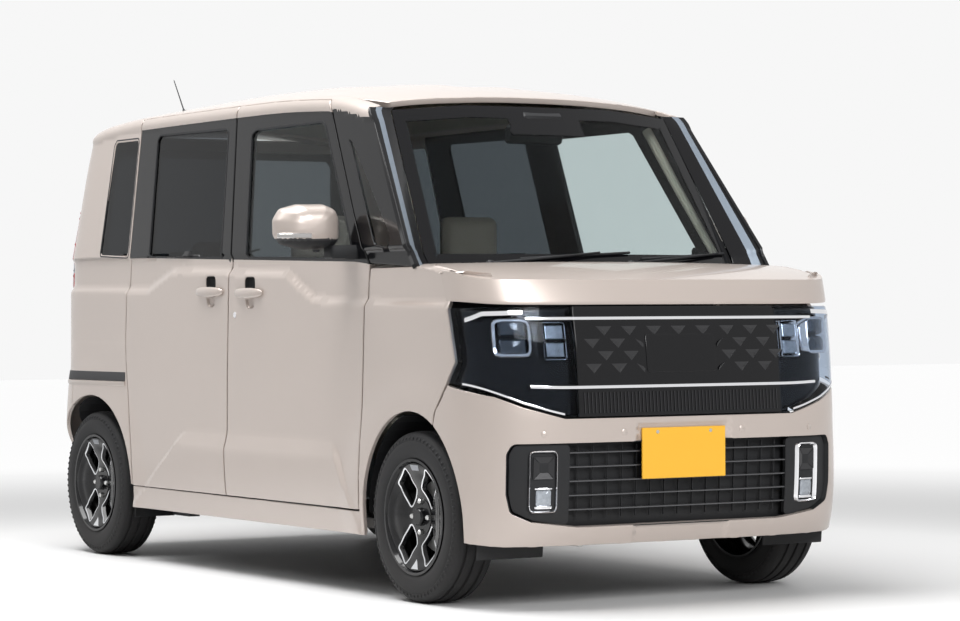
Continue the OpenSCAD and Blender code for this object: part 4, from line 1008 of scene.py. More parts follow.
class KEICAR_OT_doors(bpy.types.Operator):
    """Front doors and sliding rear doors with their handles"""
    bl_idname = "keicar.doors"
    bl_label = "Doors"

    def execute(self, context):
        front = [(-130, 289), (-122, 713), (-108, 1060), (-102, 1149), (-207, 1655)] + rail_line(-205, 483, 68) + [
            (527, 1620), (766, 1281), (895, 1112), (889, 1040), (866, 600), (850, 289)]
        rear = [(-138, 289), (-130, 713), (-116, 1060), (-110, 1149), (-215, 1655)] + rail_line(-213, -1016, 68) + [
            (-1020, 1642), (-968, 1155), (-985, 900), (-989, 824), (-978, 700), (-955, 560), (-930, 430),
            (-920, 289)]
        for label, side in BODY_SIDES:
            surf = on_side(side)
            for kind, outline, window, x0, x1, grips in (
                    ("front_door", front, FRONT_WINDOW, -125, 880, (56, 1028)),
                    ("sliding_door", rear, REAR_WINDOW, -965, -140, (-256, 1034))):
                belt_line = [(x, float(waist_z(x))) for x in np.linspace(x0, x1, 24)]
                rail = rail_line(x0 - 60 if kind == "sliding_door" else -205, min(x1, 500), 6)
                fold = [[(x, float(character_z(x)) + d) for x in np.linspace(x0, x1, 60)] for d in (0, -24)]
                fold += [[(x, z) for x in np.linspace(max(x0, -478), min(x1, 678), 30)] for z in (515, 455, 440)]
                gx, gz = grips
                cup = box_loop(gx, gz + 26, 40, 24, 18)
                dish = soften([(gx - 26, gz - 62), (gx + 26, gz - 62), (gx + 42, gz - 18), (gx - 42, gz - 18)], 18)

                def black(s, z):
                    return ((z > waist_z(s)) & (z < rail_foot(s) + 6)).astype(int)
                ob = skin(kind + "_skin_" + label, outline, surf, [finish("paint"), finish("gloss_black")],
                          holes=[soften(window, 16), cup, dish], lines=[belt_line, rail] + fold, zone=black,
                          depth=22, step=15)
                body = "body" if kind == "sliding_door" else "door_" + label
                nodes = []
                if kind == "front_door":
                    nodes = ["front_door_" + label]
                elif side < 0:
                    nodes = ["sliding_doors"]
                settle(ob, body, nodes)
                handle = Parts()
                for loop, deep in ((cup, 20), (dish, 16)):
                    steps = ((1.05, -1), (0.98, -4), (0.88, -deep * .7), (0.6, -deep), (0.05, -deep),
                             (0.05, -deep - 3), (1.0, -deep - 3), (1.05, -5))
                    handle.add(stack(dense(loop, 8), surf, steps), zone=1 if deep == 20 else 0)
                t = np.linspace(0, 1, 24)
                length = 204
                path = surf(gx - length / 2 + length * t, np.full(24, gz - 7.0), 0.0)
                path[:, 1] += side * (13 * np.sin(t * math.pi) ** 0.35 + 3)
                grip, faces = tube(path, 1.0, 16)
                centre = path[:, None, :]
                taper = np.clip(np.sin(t * math.pi) ** 0.22, 0.35, 1)[:, None, None]
                grip = centre + (np.array(grip).reshape(24, 16, 3) - centre) * np.array([1, 8.0, 18.0]) * taper
                handle.add((grip.reshape(-1, 3), faces))
                if kind == "front_door":
                    lock = surf(np.array([-58.0]), np.array([943.0]), 0.0)[0]
                    v, f = lathe([(0.5, 0), (11, 0), (11, 2.5), (9, 3.5), (0.5, 3.5)], 24)
                    handle.add((np.array(v) * [1, side, 1], f), zone=2, move=lock)
                ob = handle.build(kind + "_handle_" + label, [finish("paint"), finish("dark_plastic"),
                                                              finish("chrome")])
                settle(right_way(ob), body)
                edge = Parts().add(window_gasket(window, surf, 7, 1.0)).build(
                    kind + "_reveal_" + label, [finish("dark_plastic")])
                settle(right_way(edge), body)
            # slide rail behind the sliding door
            xs = np.linspace(-1588, -996, 30)
            s = np.array([s_at_x(x, 700) for x in xs])
            slot = Parts()
            for zone, levels in enumerate((
                    ((722, 0.5), (720, 1.6), (688, 1.6), (686, 0.5), (686, -4), (722, -4)),
                    ((686, 1.0), (684, 4.5), (672, 3.5), (668, 0.5), (668, -4), (686, -4)))):
                slot.add(bar([surf(s, np.full(30, z), off) for z, off in levels]), zone)
            settle(right_way(slot.build("slide_rail_" + label, [finish("seal"), finish("paint")])), "body")
        return {"FINISHED"}


# x, and half the bonnet's width there
BONNET_HALF_WIDTH = ([1100, 1225, 1300, 1700], [630, 634, 703, 703])


def bonnet_edge():
    """Points along the bonnet's left edge, from the screen forward."""
    fine, out = np.linspace(0, 1, 900), []
    for k in np.linspace(8, 2, 40):
        line = bonnet_point(fine, np.full(900, k))
        ok = line[:, 1] <= np.interp(line[:, 0], *BONNET_HALF_WIDTH)
        out.append(line[ok][-1])
    out = np.array(out)
    return out[np.argsort(out[:, 0])]


class KEICAR_OT_fenders(bpy.types.Operator):
    """Front fenders, outside and along the bonnet"""
    bl_idname = "keicar.fenders"
    bl_label = "Front fenders"

    def execute(self, context):
        for label, side in BODY_SIDES:
            out = [(903, 1096), (896, 1040), (873, 600), (857, 289), (860, 204), (880, 204)]
            out += arch_points(AXLES["front"], 315, 347, 180, 62, 22)
            out += [(s_at_x(x, z), z) for x, z in ((1349, 596), (1357, 631), (1421, 726), (1469, 790), (1421, 984),
                                                   (1380, 1072), (1302, 1088))]
            out += [(1212, 1098)]
            fold = [[(s_at_x(x, 990), float(character_z(x)) + d) for x in np.linspace(906, 1412, 30)]
                    for d in (0, -25)]
            surf = on_side(side)
            ob = skin("fender_skin_" + label, out, surf, [finish("paint")], lines=fold, depth=14, step=14)
            settle(ob, "body", ["fenders"] if side < 0 else [])
            # the fender's shoulder beside the bonnet
            xs = np.linspace(905, 1405, 34)
            seam = bonnet_edge()
            inner = np.interp(xs, seam[:, 0], seam[:, 1]) + 4
            level = np.interp(xs, seam[:, 0], seam[:, 2])
            rise = np.array([float(np.interp(x, [900, 1212, 1302, 1380, 1421], [1097, 1099, 1089, 1073, 984]))
                             for x in xs])
            a = np.array([flank(s_at_x(x, 1000), z, -2.0) for x, z in zip(xs, rise)])
            rows = []
            for t in np.linspace(0, 1, 9):
                p = a.copy()
                p[:, 1] = a[:, 1] * (1 - t) + inner * t
                p[:, 2] = rise + (level - rise) * math.sin(t * math.pi / 2)
                rows.append(p)
            verts, faces = bar(rows + [r - np.array([0, 0, 8.0]) for r in rows[::-1]])
            ob = Parts().add((verts * [1, side, 1], faces)).build("fender_shoulder_" + label, [finish("paint")])
            settle(right_way(ob), "body")
        return {"FINISHED"}


# ---------------------------------------------------------------- nose


def mirrored(half):
    """A closed outline from its left half, given from the middle out and back."""
    return list(half) + [(-q, z) for q, z in half[::-1]]


class KEICAR_OT_bonnet(bpy.types.Operator):
    """Bonnet"""
    bl_idname = "keicar.bonnet"
    bl_label = "Bonnet"

    def execute(self, context):
        ks = np.unique(np.concatenate([np.linspace(0, 2, 14), np.linspace(2, 3, 12), np.linspace(3, 8, 26)]))
        fine = np.linspace(0, 1, 900)
        ws = np.sin(np.linspace(-1, 1, 81) * math.pi / 2) * 0.35 + np.linspace(-1, 1, 81) * 0.65
        fold, top = 2.5, []
        for k in ks:
            line = bonnet_point(fine, np.full(900, k))
            if k <= 2.6:
                ok = line[:, 0] >= np.interp(line[:, 2], [970, 1078], [1432, 1387])
            else:
                ok = line[:, 1] <= np.interp(line[:, 0], *BONNET_HALF_WIDTH)
            row = bonnet_point(fine[ok].max() * ws, np.full(81, k))
            roll = fold if k in (ks[0], ks[-1]) else 0.0
            row[[0, -1], 2] -= fold * (k > 2)
            row[:, 2] -= roll * (k > 2)
            row[:, 0] -= roll * (k < 2)
            top.append(row)
        top = np.array(top)
        rows, n = top.shape[:2]
        normal = np.cross(np.gradient(top, axis=1), np.gradient(top, axis=0))
        normal /= np.linalg.norm(normal, axis=2, keepdims=True)
        if normal[-3, n // 2, 2] < 0:
            normal = -normal
        low = top - normal * 12
        verts = np.vstack([top.reshape(-1, 3), low.reshape(-1, 3)])
        k = rows * n
        faces = []
        for i in range(rows - 1):
            for j in range(n - 1):
                q = (i * n + j, i * n + j + 1, (i + 1) * n + j + 1, (i + 1) * n + j)
                faces += [q, tuple(v + k for v in q[::-1])]
        edge = list(range(n)) + [i * n + n - 1 for i in range(1, rows)]
        edge += [(rows - 1) * n + j for j in range(n - 2, -1, -1)] + [i * n for i in range(rows - 2, 0, -1)]
        faces += [(edge[i], edge[i - 1], edge[i - 1] + k, edge[i] + k) for i in range(len(edge))]
        ob = Parts().add((verts, faces)).build("bonnet_skin", [finish("paint")], angle=50)
        settle(right_way(ob), "bonnet", ["bonnet"])
        return {"FINISHED"}


LAMP_FLOOR = [(0, 612), (452, 612), (501, 625), (590, 650), (670, 684), (736, 714)]


class KEICAR_OT_nose(bpy.types.Operator):
    """Front bumper with a recess for the number plate, lower grille and fog lamps"""
    bl_idname = "keicar.nose"
    bl_label = "Front bumper"

    def execute(self, context):
        half = [(nose_q(y, z - 3), z - 3) for y, z in LAMP_FLOOR]
        half += [(nose_qx(x, z, 1), z) for x, z in ((1427, 716), (1364, 628), (1352, 588))]
        half += [(nose_qx(x, z, 1), z) for x, z in arch_points(AXLES["front"], 315, 347, 60, 4, 14)]
        half += [(nose_qx(1505, 215, 1), 215), (nose_q(640, 203), 203), (0, 201)]
        outline = half + [(-q, z) for q, z in half[-2:0:-1]]
        hole = [(404, 262), (566, 282), (634, 312), (648, 372), (650, 500), (632, 531)]
        hole = [(nose_q(y, z), z) for y, z in hole]
        hole = soften([(-q, z) for q, z in hole] + hole[::-1], 26)

        def seat(q, z):
            return -9 * ramp(190 - np.abs(q), 0, 14) * (1 - ramp(z, 582, 600))
        ob = skin("front_bumper_skin", outline, along_nose, [finish("paint")], holes=[hole], depth=16, step=15,
                  lift=seat)
        settle(ob, "body", ["front_bumper"])
        # lower grille: a dark back, fins across it and fine uprights
        back = inset(dense(hole, 30), -14)
        ob = skin("lower_grille_back", back, lambda q, z, off=0.0: along_nose(q, z, off - 46), [finish("dark_plastic")],
                  depth=6, step=22, roll=0.0)
        settle(ob, "body", ["lower_grille"])
        wall = Parts()
        rim = dense(hole, 18)
        outer = inset(rim, -3)
        wall.add(hoops([along_nose(*loop.T, off)
                        for loop, off in ((rim, -1.5), (rim, -52), (outer, -52), (outer, -1.5))]))
        settle(right_way(wall.build("lower_grille_frame", [finish("dark_plastic")])), "body")
        count = sizes().grille_fins
        uprights = repeat("lower_grille_uprights", block((-1.5, 0, 0), (1.5, 7, 232), 0.5), "grid",
                          finish("dark_plastic"), Across=15, Rows=1, Pitch=0.058, Row_pitch=0.3, Stagger=0.0)
        bend_to(uprights, lambda p: along_nose(p[:, 0] - 406, np.clip(p[:, 2] + 290, 290, 524), p[:, 1] - 34))
        settle(uprights, "body")
        strips = Parts()
        for i in range(count):
            z = 318 + i * (500 - 318) / max(count - 1, 1)
            end = nose_q(452, z)
            qs = np.linspace(-end, end, 90)
            strips.add(bar([along_nose(qs, np.full(90, z + dz), off)
                            for dz, off in ((-3, -36), (-1.8, -16), (1.8, -16), (3, -36))]))
        settle(right_way(strips.build("lower_grille_fins", [finish("fin")])), "body")
        for label, sign in BODY_SIDES:
            end = [(440, 530), (440, 266), (566, 286), (630, 316), (644, 372), (646, 498), (628, 529)]
            end = [(sign * abs(nose_q(y, z)), z) for y, z in end]
            ob = skin("lower_grille_end_" + label, soften(end, 22), lambda q, z, off=0.0: along_nose(q, z, off - 12),
                      [finish("dark_plastic")], depth=16, step=18)
            settle(ob, "body")
        # fog lamps in bright rectangular bezels
        fogs = Parts()
        for sign in (-1, 1):
            q0, z0 = sign * abs(nose_q(534, 410)), 410
            loop = dense(box_loop(q0, z0, 50, 99, 20), 8)
            small = inset(loop, 7)
            fogs.add(hoops([along_nose(*ring.T, off) for ring, off in (
                (loop, -18), (loop, -5), (loop * .5 + small * .5, -2), (small, -6), (small, -18))]), 0)
            for cz, tall, wide, zone in ((z0 - 52, 26, 26, 1), (z0 - 82, 5, 30, 0), (z0 - 22, 3, 30, 0)):
                pad = dense(box_loop(q0, cz, wide, tall, min(8, tall)), 6)
                fogs.add(stack(pad, along_nose, ((1, -18), (1, -9), (.8, -5), (.02, -4), (.02, -18))), zone)
            top = z0 + 44
            for corners in (((-36, 36), (36, 36)), ((36, 36), (36, -36)), ((36, -36), (-36, -36)),
                            ((-36, -36), (-36, 36))):
                pts = np.array([(q0 + dq, top + dz) for dq, dz in corners] + [(q0, top)])
                pts = pts.mean(0) + (pts - pts.mean(0)) * 0.94
                face = along_nose(pts[:, 0], pts[:, 1], np.array([-7.0, -7.0, -15.0]))
                rear = along_nose(pts[:, 0], pts[:, 1], -19.0)
                wedge = [(0, 1, 2), (5, 4, 3), (0, 3, 4, 1), (1, 4, 5, 2), (2, 5, 3, 0)]
                fogs.add((np.vstack([face, rear]), wedge), 2)
        ob = fogs.build("fog_lamps", [finish("chrome"), finish("cube_lens"), finish("relief")])
        settle(right_way(ob), "body")
        # parking sensors
        dots = Parts()
        for y, z in ((-531, 561), (-235, 563), (235, 563), (531, 561)):
            p = along_nose(np.array([nose_q(y, z)]), np.array([float(z)]), 0.6)[0]
            v, f = lathe([(0.5, -4), (11, -4), (11, 0), (9.5, 1), (0.5, 1.4)], 24)
            dots.add((v, f), 0, turned(-90 + (18 * np.sign(y) if abs(y) > 500 else 0), "Z"), p)
        settle(right_way(dots.build("parking_sensors", [finish("paint")])), "body")
        return {"FINISHED"}


class KEICAR_OT_plates(bpy.types.Operator):
    """Blank number plates with their screws"""
    bl_idname = "keicar.plates"
    bl_label = "Number plates"

    def execute(self, context):
        parts = Parts()
        for sign, z0 in ((1, 492), (-1, 430)):
            x = 1697.3 * sign
            low, high = sorted((x, x - 7 * sign))
            parts.add(block((low, -165, z0 - 82.5), (high, 165, z0 + 82.5), 1.5))
            for y in (-105, 105):
                v, f = lathe([(0.4, -1), (6, -1), (6, 1.2), (4.5, 2.6), (2.2, 2.6), (2.0, 1.6), (0.4, 1.6)], 20)
                parts.add((v, f), 1, turned(-90 * sign, "Z"),
                          (x, y, z0 + 82.5 - 14))
        ob = parts.build("blank_plates", [finish("plate"), finish("bare_steel")])
        settle(right_way(ob), "body", ["number_plates"])
        return {"FINISHED"}


class KEICAR_OT_front_lamps(bpy.types.Operator):
    """Gloss nose panel with its relief, and the headlamps beside it"""
    bl_idname = "keicar.front_lamps"
    bl_label = "Nose panel and headlamps"

    def execute(self, context):
        black, lens, chrome = finish("gloss_black"), finish("lens"), finish("chrome")
        q402 = nose_q(401, 800)
        ob = skin("nose_panel", [(-q402, 615), (q402, 615), (q402, 968), (-q402, 968)], along_nose, [black], depth=14,
                  step=18)
        settle(ob, "body", ["grille_panel"])
        # rows of small downward triangles
        tri = ([(-30, 0, 15), (30, 0, 15), (0, 0, -15), (-8, 5, 5), (8, 5, 5), (0, 5, -3)],
               [(0, 1, 4, 3), (1, 2, 5, 4), (2, 0, 3, 5), (3, 4, 5), (0, 2, 1)])
        rib = block((-1.6, -1, 0), (1.6, 2.2, 66), 0)
        for label, shape, z0, counts in (("triangles", tri, 768, (8, 4, 0.097, 0.040, 0.5)),
                                         ("ribs", rib, 626, (56, 1, 0.0138, 0.1, 0.0))):
            ob = repeat("nose_relief_" + label, shape, "grid", finish("relief"), Across=counts[0], Rows=counts[1],
                        Pitch=counts[2], Row_pitch=counts[3], Stagger=counts[4])
            me = ob.data
            span = counts[2] / MM * (counts[0] - 1)

            def place(p, z0=z0, span=span):
                return along_nose(p[:, 0] - span / 2, p[:, 2] + z0, p[:, 1] + 0.2)
            bend_to(ob, place)
            drop = [f.index for f in me.polygons
                    if abs(f.center.y) < 0.15 and 0.745 < f.center.z < 0.886 or abs(f.center.y) > 0.4]
            bm = bmesh.new()
            bm.from_mesh(me)
            bm.faces.ensure_lookup_table()
            bmesh.ops.delete(bm, geom=[bm.faces[i] for i in drop], context="FACES")
            bm.to_mesh(me)
            bm.free()
            settle(right_way(ob), "body")
        # headlamps: a dark tray, a bright ring, stacked lenses and a clear cover
        for label, sign in BODY_SIDES:
            def q(y, z):
                return sign * abs(nose_q(y, z))
            half = [(q(404.5, 616), 616), (q(452, 616), 616), (q(501, 629), 629), (q(590, 654), 654),
                    (q(670, 688), 688), (q(732, 718), 718)]
            half += [(sign * abs(nose_qx(x, z, 1)), z) for x, z in ((1434, 727), (1474, 790), (1432, 964))]
            half += [(q(404.5, 968), 968)]
            cover = skin("headlamp_cover_" + label, half, along_nose, [lens], depth=3, step=16, roll=1.2)
            settle(cover, "body", ["headlamps"] if sign < 0 else [])
            tray = skin("headlamp_tray_" + label, inset(dense(half, 20), 3), lambda a, z, off=0.0: along_nose(
                a, z, off - 34), [black], depth=6, step=18, roll=0.0)
            settle(tray, "body")
            parts = Parts()

            def ring(cx, cz, w, h, r, width, front):
                loop = dense(box_loop(cx, cz, w, h, r), 7)
                small = inset(loop, width)
                parts.add(hoops([along_nose(*edge.T, off) for edge, off in (
                    (loop, -33), (loop, front - 3), (loop * .7 + small * .3, front), (small, front - 4),
                    (small, -33))]), 0)
            mid, inner = q(617, 868), q(476, 857)
            ring(mid, 868, 66, 62, 30, 11, -8)
            for cz in (900, 838):
                parts.add(stack(dense(box_loop(mid, cz, 46, 26, 8), 8), along_nose, (
                    (1, -33), (1, -18), (.8, -11), (.3, -8), (.02, -7.5), (.02, -33))), 2)
            ring(inner, 857, 42, 62, 12, 5, -12)
            for cz in (885, 829):
                parts.add(stack(dense(box_loop(inner, cz, 32, 22), 8), along_nose, (
                    (1, -33), (1, -16), (.85, -12), (.02, -12), (.02, -33))), 1)
            ob = parts.build("headlamp_lenses_" + label, [chrome, finish("cube_lens"), finish("smoked_lens")])
            settle(right_way(ob), "body")
        # bright lines across the nose
        lines = Parts()

        def strip(qs, zs, tall, lift=1.6):
            lines.add(bar([along_nose(qs, zs + dz, off) for dz, off in (
                (-tall, -2.0), (-tall, lift * .5), (0, lift), (tall, lift * .5), (tall, -2.0))]))
        qs = np.linspace(-nose_q(565, 927), nose_q(565, 927), 80)
        strip(qs, np.full(80, 929.0), 4.5)
        qs = np.linspace(-nose_q(565, 709), nose_q(565, 709), 80)
        strip(qs, 709 + 12 * np.clip((np.abs(qs) - 400) / 300, 0, 1) ** 2, 4.5)
        for sign in (-1, 1):
            for knots, levels, n, tall in (((575, 690, 722), (948, 945, 925), 30, 7),
                                           ((455, 501, 590, 670, 728), (624, 635, 661, 696, 722), 40, 3.2)):
                ys = np.linspace(knots[0], knots[-1], n)
                zs = np.interp(ys, knots, levels)
                strip(np.array([sign * abs(nose_q(y, z)) for y, z in zip(ys, zs)]), zs, tall)
        settle(right_way(lines.build("nose_bright_lines", [chrome])), "body")
        q136 = nose_q(136, 815)
        ob = skin("nose_badge_blank", box_loop(0, 815, q136, 62, 14),
                  lambda a, z, off=0.0: along_nose(a, z, off + 4), [finish("gloss_black")], depth=5, step=20)
        settle(ob, "body")
        return {"FINISHED"}


# ---------------------------------------------------------------- tail and roof


class KEICAR_OT_tail(bpy.types.Operator):
    """Tailgate, rear bumper and tail lamps"""
    bl_idname = "keicar.tail"
    bl_label = "Tail"

    def execute(self, context):
        paint = finish("paint")
        half = [(0, 702), (600, 702), (600, 1430), (588, 1560), (574, 1618), (540, 1640), (480, 1656), (300, 1668),
                (0, 1672)]
        pts = [(tail_q(y, z) if y else 0.0, z) for y, z in half]
        outline = pts[1:-1] + [(-q, z) for q, z in pts[1:-1][::-1]]
        win = [(520, 1130), (500, 1560), (470, 1590)]
        win = [(tail_q(y, z), z) for y, z in win]
        window = soften(win + [(-q, z) for q, z in win[::-1]], 30)

        def press(q, z):
            inside_q = ramp(260 - np.abs(q), 0, 16)
            return -9 * inside_q * ramp(z, 780, 796) * (1 - ramp(z, 924, 940)) + 5 * ramp(z, 1060, 1085) * (
                z < 1120)
        ob = skin("tailgate_skin", outline, along_tail, [paint, finish("gloss_black")], holes=[window],
                  lift=press, depth=24, step=15,
                  lines=[[(-tail_q(596, 1096), 1096), (tail_q(596, 1096), 1096)]],
                  zone=lambda q, z: ((z > 1096) & (z < 1625) & (np.abs(q) < 640)).astype(int))
        settle(ob, "tailgate", ["tailgate"])
        glass = inset(np.array(window), -9)
        ob = skin("tailgate_pane", glass, lambda q, z, off=0.0: along_tail(q, z, off - 6), [finish("dark_glass")],
                  depth=4, step=26, roll=0.0)
        settle(ob, "tailgate", ["tailgate_glass"])
        # the lip starts behind the hinge, thin, so that it swings up clear of the roof's rear edge
        lip = [(-1503, 574), (-1524, 570), (-1552, 554), (-1578, 518), (-1594, 450), (-1604, 300)]
        lip = lip + [(x, -y) for x, y in lip[::-1]]
        ob = skin("tailgate_spoiler", lip, roof, [paint], depth=12, step=16, roll=5, out=(0, 0, 1))
        settle(ob, "tailgate")
        foot = [(-1538, 552), (-1552, 546), (-1574, 510), (-1589, 442), (-1598, 292)]
        foot = foot + [(x, -y) for x, y in foot[::-1]]
        ob = skin("tailgate_spoiler_foot", foot, lambda x, y, off=0.0: roof(x, y, off - 9), [paint], depth=20,
                  step=20, roll=4, out=(0, 0, 1))
        settle(ob, "tailgate")
        trim = Parts()
        for y in (-60, 60):
            q = tail_q(y, 1000)
            p = along_tail(np.array([q]), np.array([985.0]), 0)[0]
            trim.add(block((-4, -52, -14), (3, 52, 14), 3), 0, None, p)
        v, f = tube([(-1668, -330, 1100), (-1664, 0, 1165), (-1650, 190, 1215)], [5, 5, 4], 8)
        trim.add((v, f), 0)
        v, f = tube([(-1672, 0, 1118), (-1666, -8, 1140)], [16, 14], 20)
        trim.add((v, f), 0)
        stop = block((-8, -150, -7), (6, 150, 7), 3)
        trim.add(stop, 1, None, (-1596, 0, 1690))
        settle(right_way(trim.build("tailgate_trim", [finish("dark_plastic"), finish("lamp_red")])), "tailgate")
        # rear bumper with a recess for the plate
        side = [(tail_qx(x, z, 1), z) for x, z in ((-1478, 680), (-1478, 583))]
        side += [(tail_qx(x, z, 1), z) for x, z in arch_points(AXLES["rear"], 363, 347, 120, 176, 14)]
        half = [(0, 680), (tail_q(640, 680), 680)] + side + [(tail_qx(-1640, 214, 1), 214), (0, 203)]
        outline = half[1:-1] + [(-q, z) for q, z in half[1:-1][::-1]]

        def dip(q, z):
            m = ramp(215 - np.abs(q), 0, 22) * ramp(z, 318, 340) * (1 - ramp(z, 520, 542))
            return -14 * m - 4 * (1 - ramp(z, 285, 300))
        ob = skin("rear_bumper_skin", outline, along_tail, [paint, finish("dark_plastic")], lift=dip, depth=14,
                  step=15, lines=[[(-900, 290), (900, 290)]], zone=lambda q, z: (z < 290).astype(int))
        settle(ob, "body", ["rear_bumper"])
        shelf = [(-tail_q(640, 690), 640), (tail_q(640, 690), 640), (tail_q(640, 690), 730), (-tail_q(640, 690), 730)]
        ob = skin("tail_closing_strip", shelf, lambda q, z, off=0.0: along_tail(q, z, off - 34), [finish("seal")],
                  depth=8, step=24, roll=0.0)
        settle(ob, "body")
        reflectors = Parts()
        for sign in (-1, 1):
            q0 = sign * tail_q(560, 330)
            q = np.linspace(q0 - 60, q0 + 60, 12)
            rows = [along_tail(q, np.full(12, z), off) for z, off in ((330, -2), (332, 3), (352, 3), (354, -2))]
            reflectors.add(bar(rows))
        settle(right_way(reflectors.build("rear_reflectors", [finish("lamp_red")])), "body")
        # tail lamps on the corners
        for label, sign in BODY_SIDES:
            out = [(sign * tail_q(606, 1052), 1052), (sign * tail_q(606, 1424), 1424),
                   (tail_qx(-1562, 1424, sign), 1424), (tail_qx(-1562, 1052, sign), 1052)]
            mid = sign * (tail_q(606, 1200) + abs(tail_qx(-1562, 1200, 1))) / 2
            ob = skin("tail_lamp_skin_" + label, soften(out, 12), along_tail, [finish("lamp_red"), finish("lens"),
                      finish("cube_lens")], depth=30, step=12, roll=6, lift=lambda q, z: 8.0 + 0 * q,
                      lines=[[(mid - 40, 1150), (mid + 40, 1150)], [(mid - 40, 1110), (mid + 40, 1110)]],
                      zone=lambda q, z: np.where((z > 1110) & (z < 1150), 2, 0))
            settle(ob, "body", ["tail_lamps"] if sign < 0 else [])
        return {"FINISHED"}


class KEICAR_OT_roof(bpy.types.Operator):
    """Roof panel and antenna"""
    bl_idname = "keicar.roof"
    bl_label = "Roof"

    def execute(self, context):
        half = [(-1486, 594), (640, 594), (742, 558), (780, 300), (788, 0)]
        outline = half[:-1] + [(x, -y) for x, y in half[:-1][::-1]]

        def beads(x, y):
            wave = 0.0
            for y0 in (-380, -130, 130, 380):
                wave = wave + 4 * np.exp(-((y - y0) / 34.0) ** 2)
            return wave * ramp(x, -1380, -1260) * (1 - ramp(x, 380, 520))
        ob = skin("roof_skin", outline, roof, [finish("paint")], depth=20, step=18, out=(0, 0, 1), lift=beads)
        settle(ob, "body", ["roof_panel"])
        foot = roof(np.array([-1290.0]), np.array([-330.0]))[0]
        parts = Parts()
        v, f = lathe([(0.5, -6), (26, -6), (25, 4), (17, 14), (9, 22), (0.5, 23)], 28)
        parts.add((v, f), 0, turned(90, "X"), foot)
        tip = foot + np.array([-102, 0, 150.0])
        path = np.linspace(foot + [-6, 0, 14], tip, 30)
        radius = 2.6 - 0.9 * np.linspace(0, 1, 30) + 0.35 * (np.arange(30) % 2)
        radius[:3] += 2.5
        radius[-1] = 0.8
        parts.add(tube(path, radius, 12), 0)
        settle(right_way(parts.build("antenna_rod", [finish("dark_plastic")])), "body", ["antenna"])
        return {"FINISHED"}


# ---------------------------------------------------------------- glass


class KEICAR_OT_glass(bpy.types.Operator):
    """Windscreen and side glass"""
    bl_idname = "keicar.glass"
    bl_label = "Glass"

    def execute(self, context):
        clear, dark, frit = finish("clear_glass"), finish("dark_glass"), finish("frit")
        half = [(617, 1102), (623, 1140), (563, 1640), (300, 1662)]
        outline = half + [(-y, z) for y, z in half[::-1]]
        band = inset(dense(soften(outline, 30), 30), 42)
        ring = [tuple(p) for p in band] + [tuple(band[0])]
        base = np.array(band)

        def rim(y, z):
            pts = np.stack([y, z], 1)
            return (~inside(pts, base) | ((z > 1560) & (np.abs(y) < 150))).astype(int)
        ob = skin("windscreen_pane", outline, screen, [clear, frit], lines=[ring, [(-150, 1562), (150, 1562)]],
                  zone=rim, depth=5, step=24, roll=0.0, out=(1, 0, 0.5))
        settle(ob, "body", ["windscreen"])
        for label, side in BODY_SIDES:
            surf = on_side(side)
            for name, loop, mat, slot_name, body, node, off in (
                    ("front_door_pane_", FRONT_WINDOW, clear, "clear_glass", "door_" + label,
                     "front_door_glass_" + label, -5),
                    ("sliding_door_pane_", REAR_WINDOW, dark, "dark_glass", "body", "sliding_door_glass", -5),
                    ("quarter_pane_", QUARTER_WINDOW, dark, "dark_glass", "body", "quarter_glass", -3),
                    ("front_quarter_pane_", FRONT_QUARTER, clear, "clear_glass", "body", None, -5)):
                grown = inset(np.array(dense(soften(loop, 14), 16)), -6 if "quarter" not in name else -7)
                ob = skin(name + label, grown, lambda s, z, o=0.0, k=off: surf(s, z, o + k), [mat], depth=3.5, step=28,
                          roll=0.0)
                nodes = []
                if node and (node.startswith("front") or side < 0):
                    nodes = [node]
                settle(ob, body, nodes)
            edge = Parts().add(window_gasket(QUARTER_WINDOW, surf, 5, 0.6)).build(
                "quarter_reveal_" + label, [finish("seal")])
            settle(right_way(edge), "body")
        return {"FINISHED"}


# ---------------------------------------------------------------- wheels


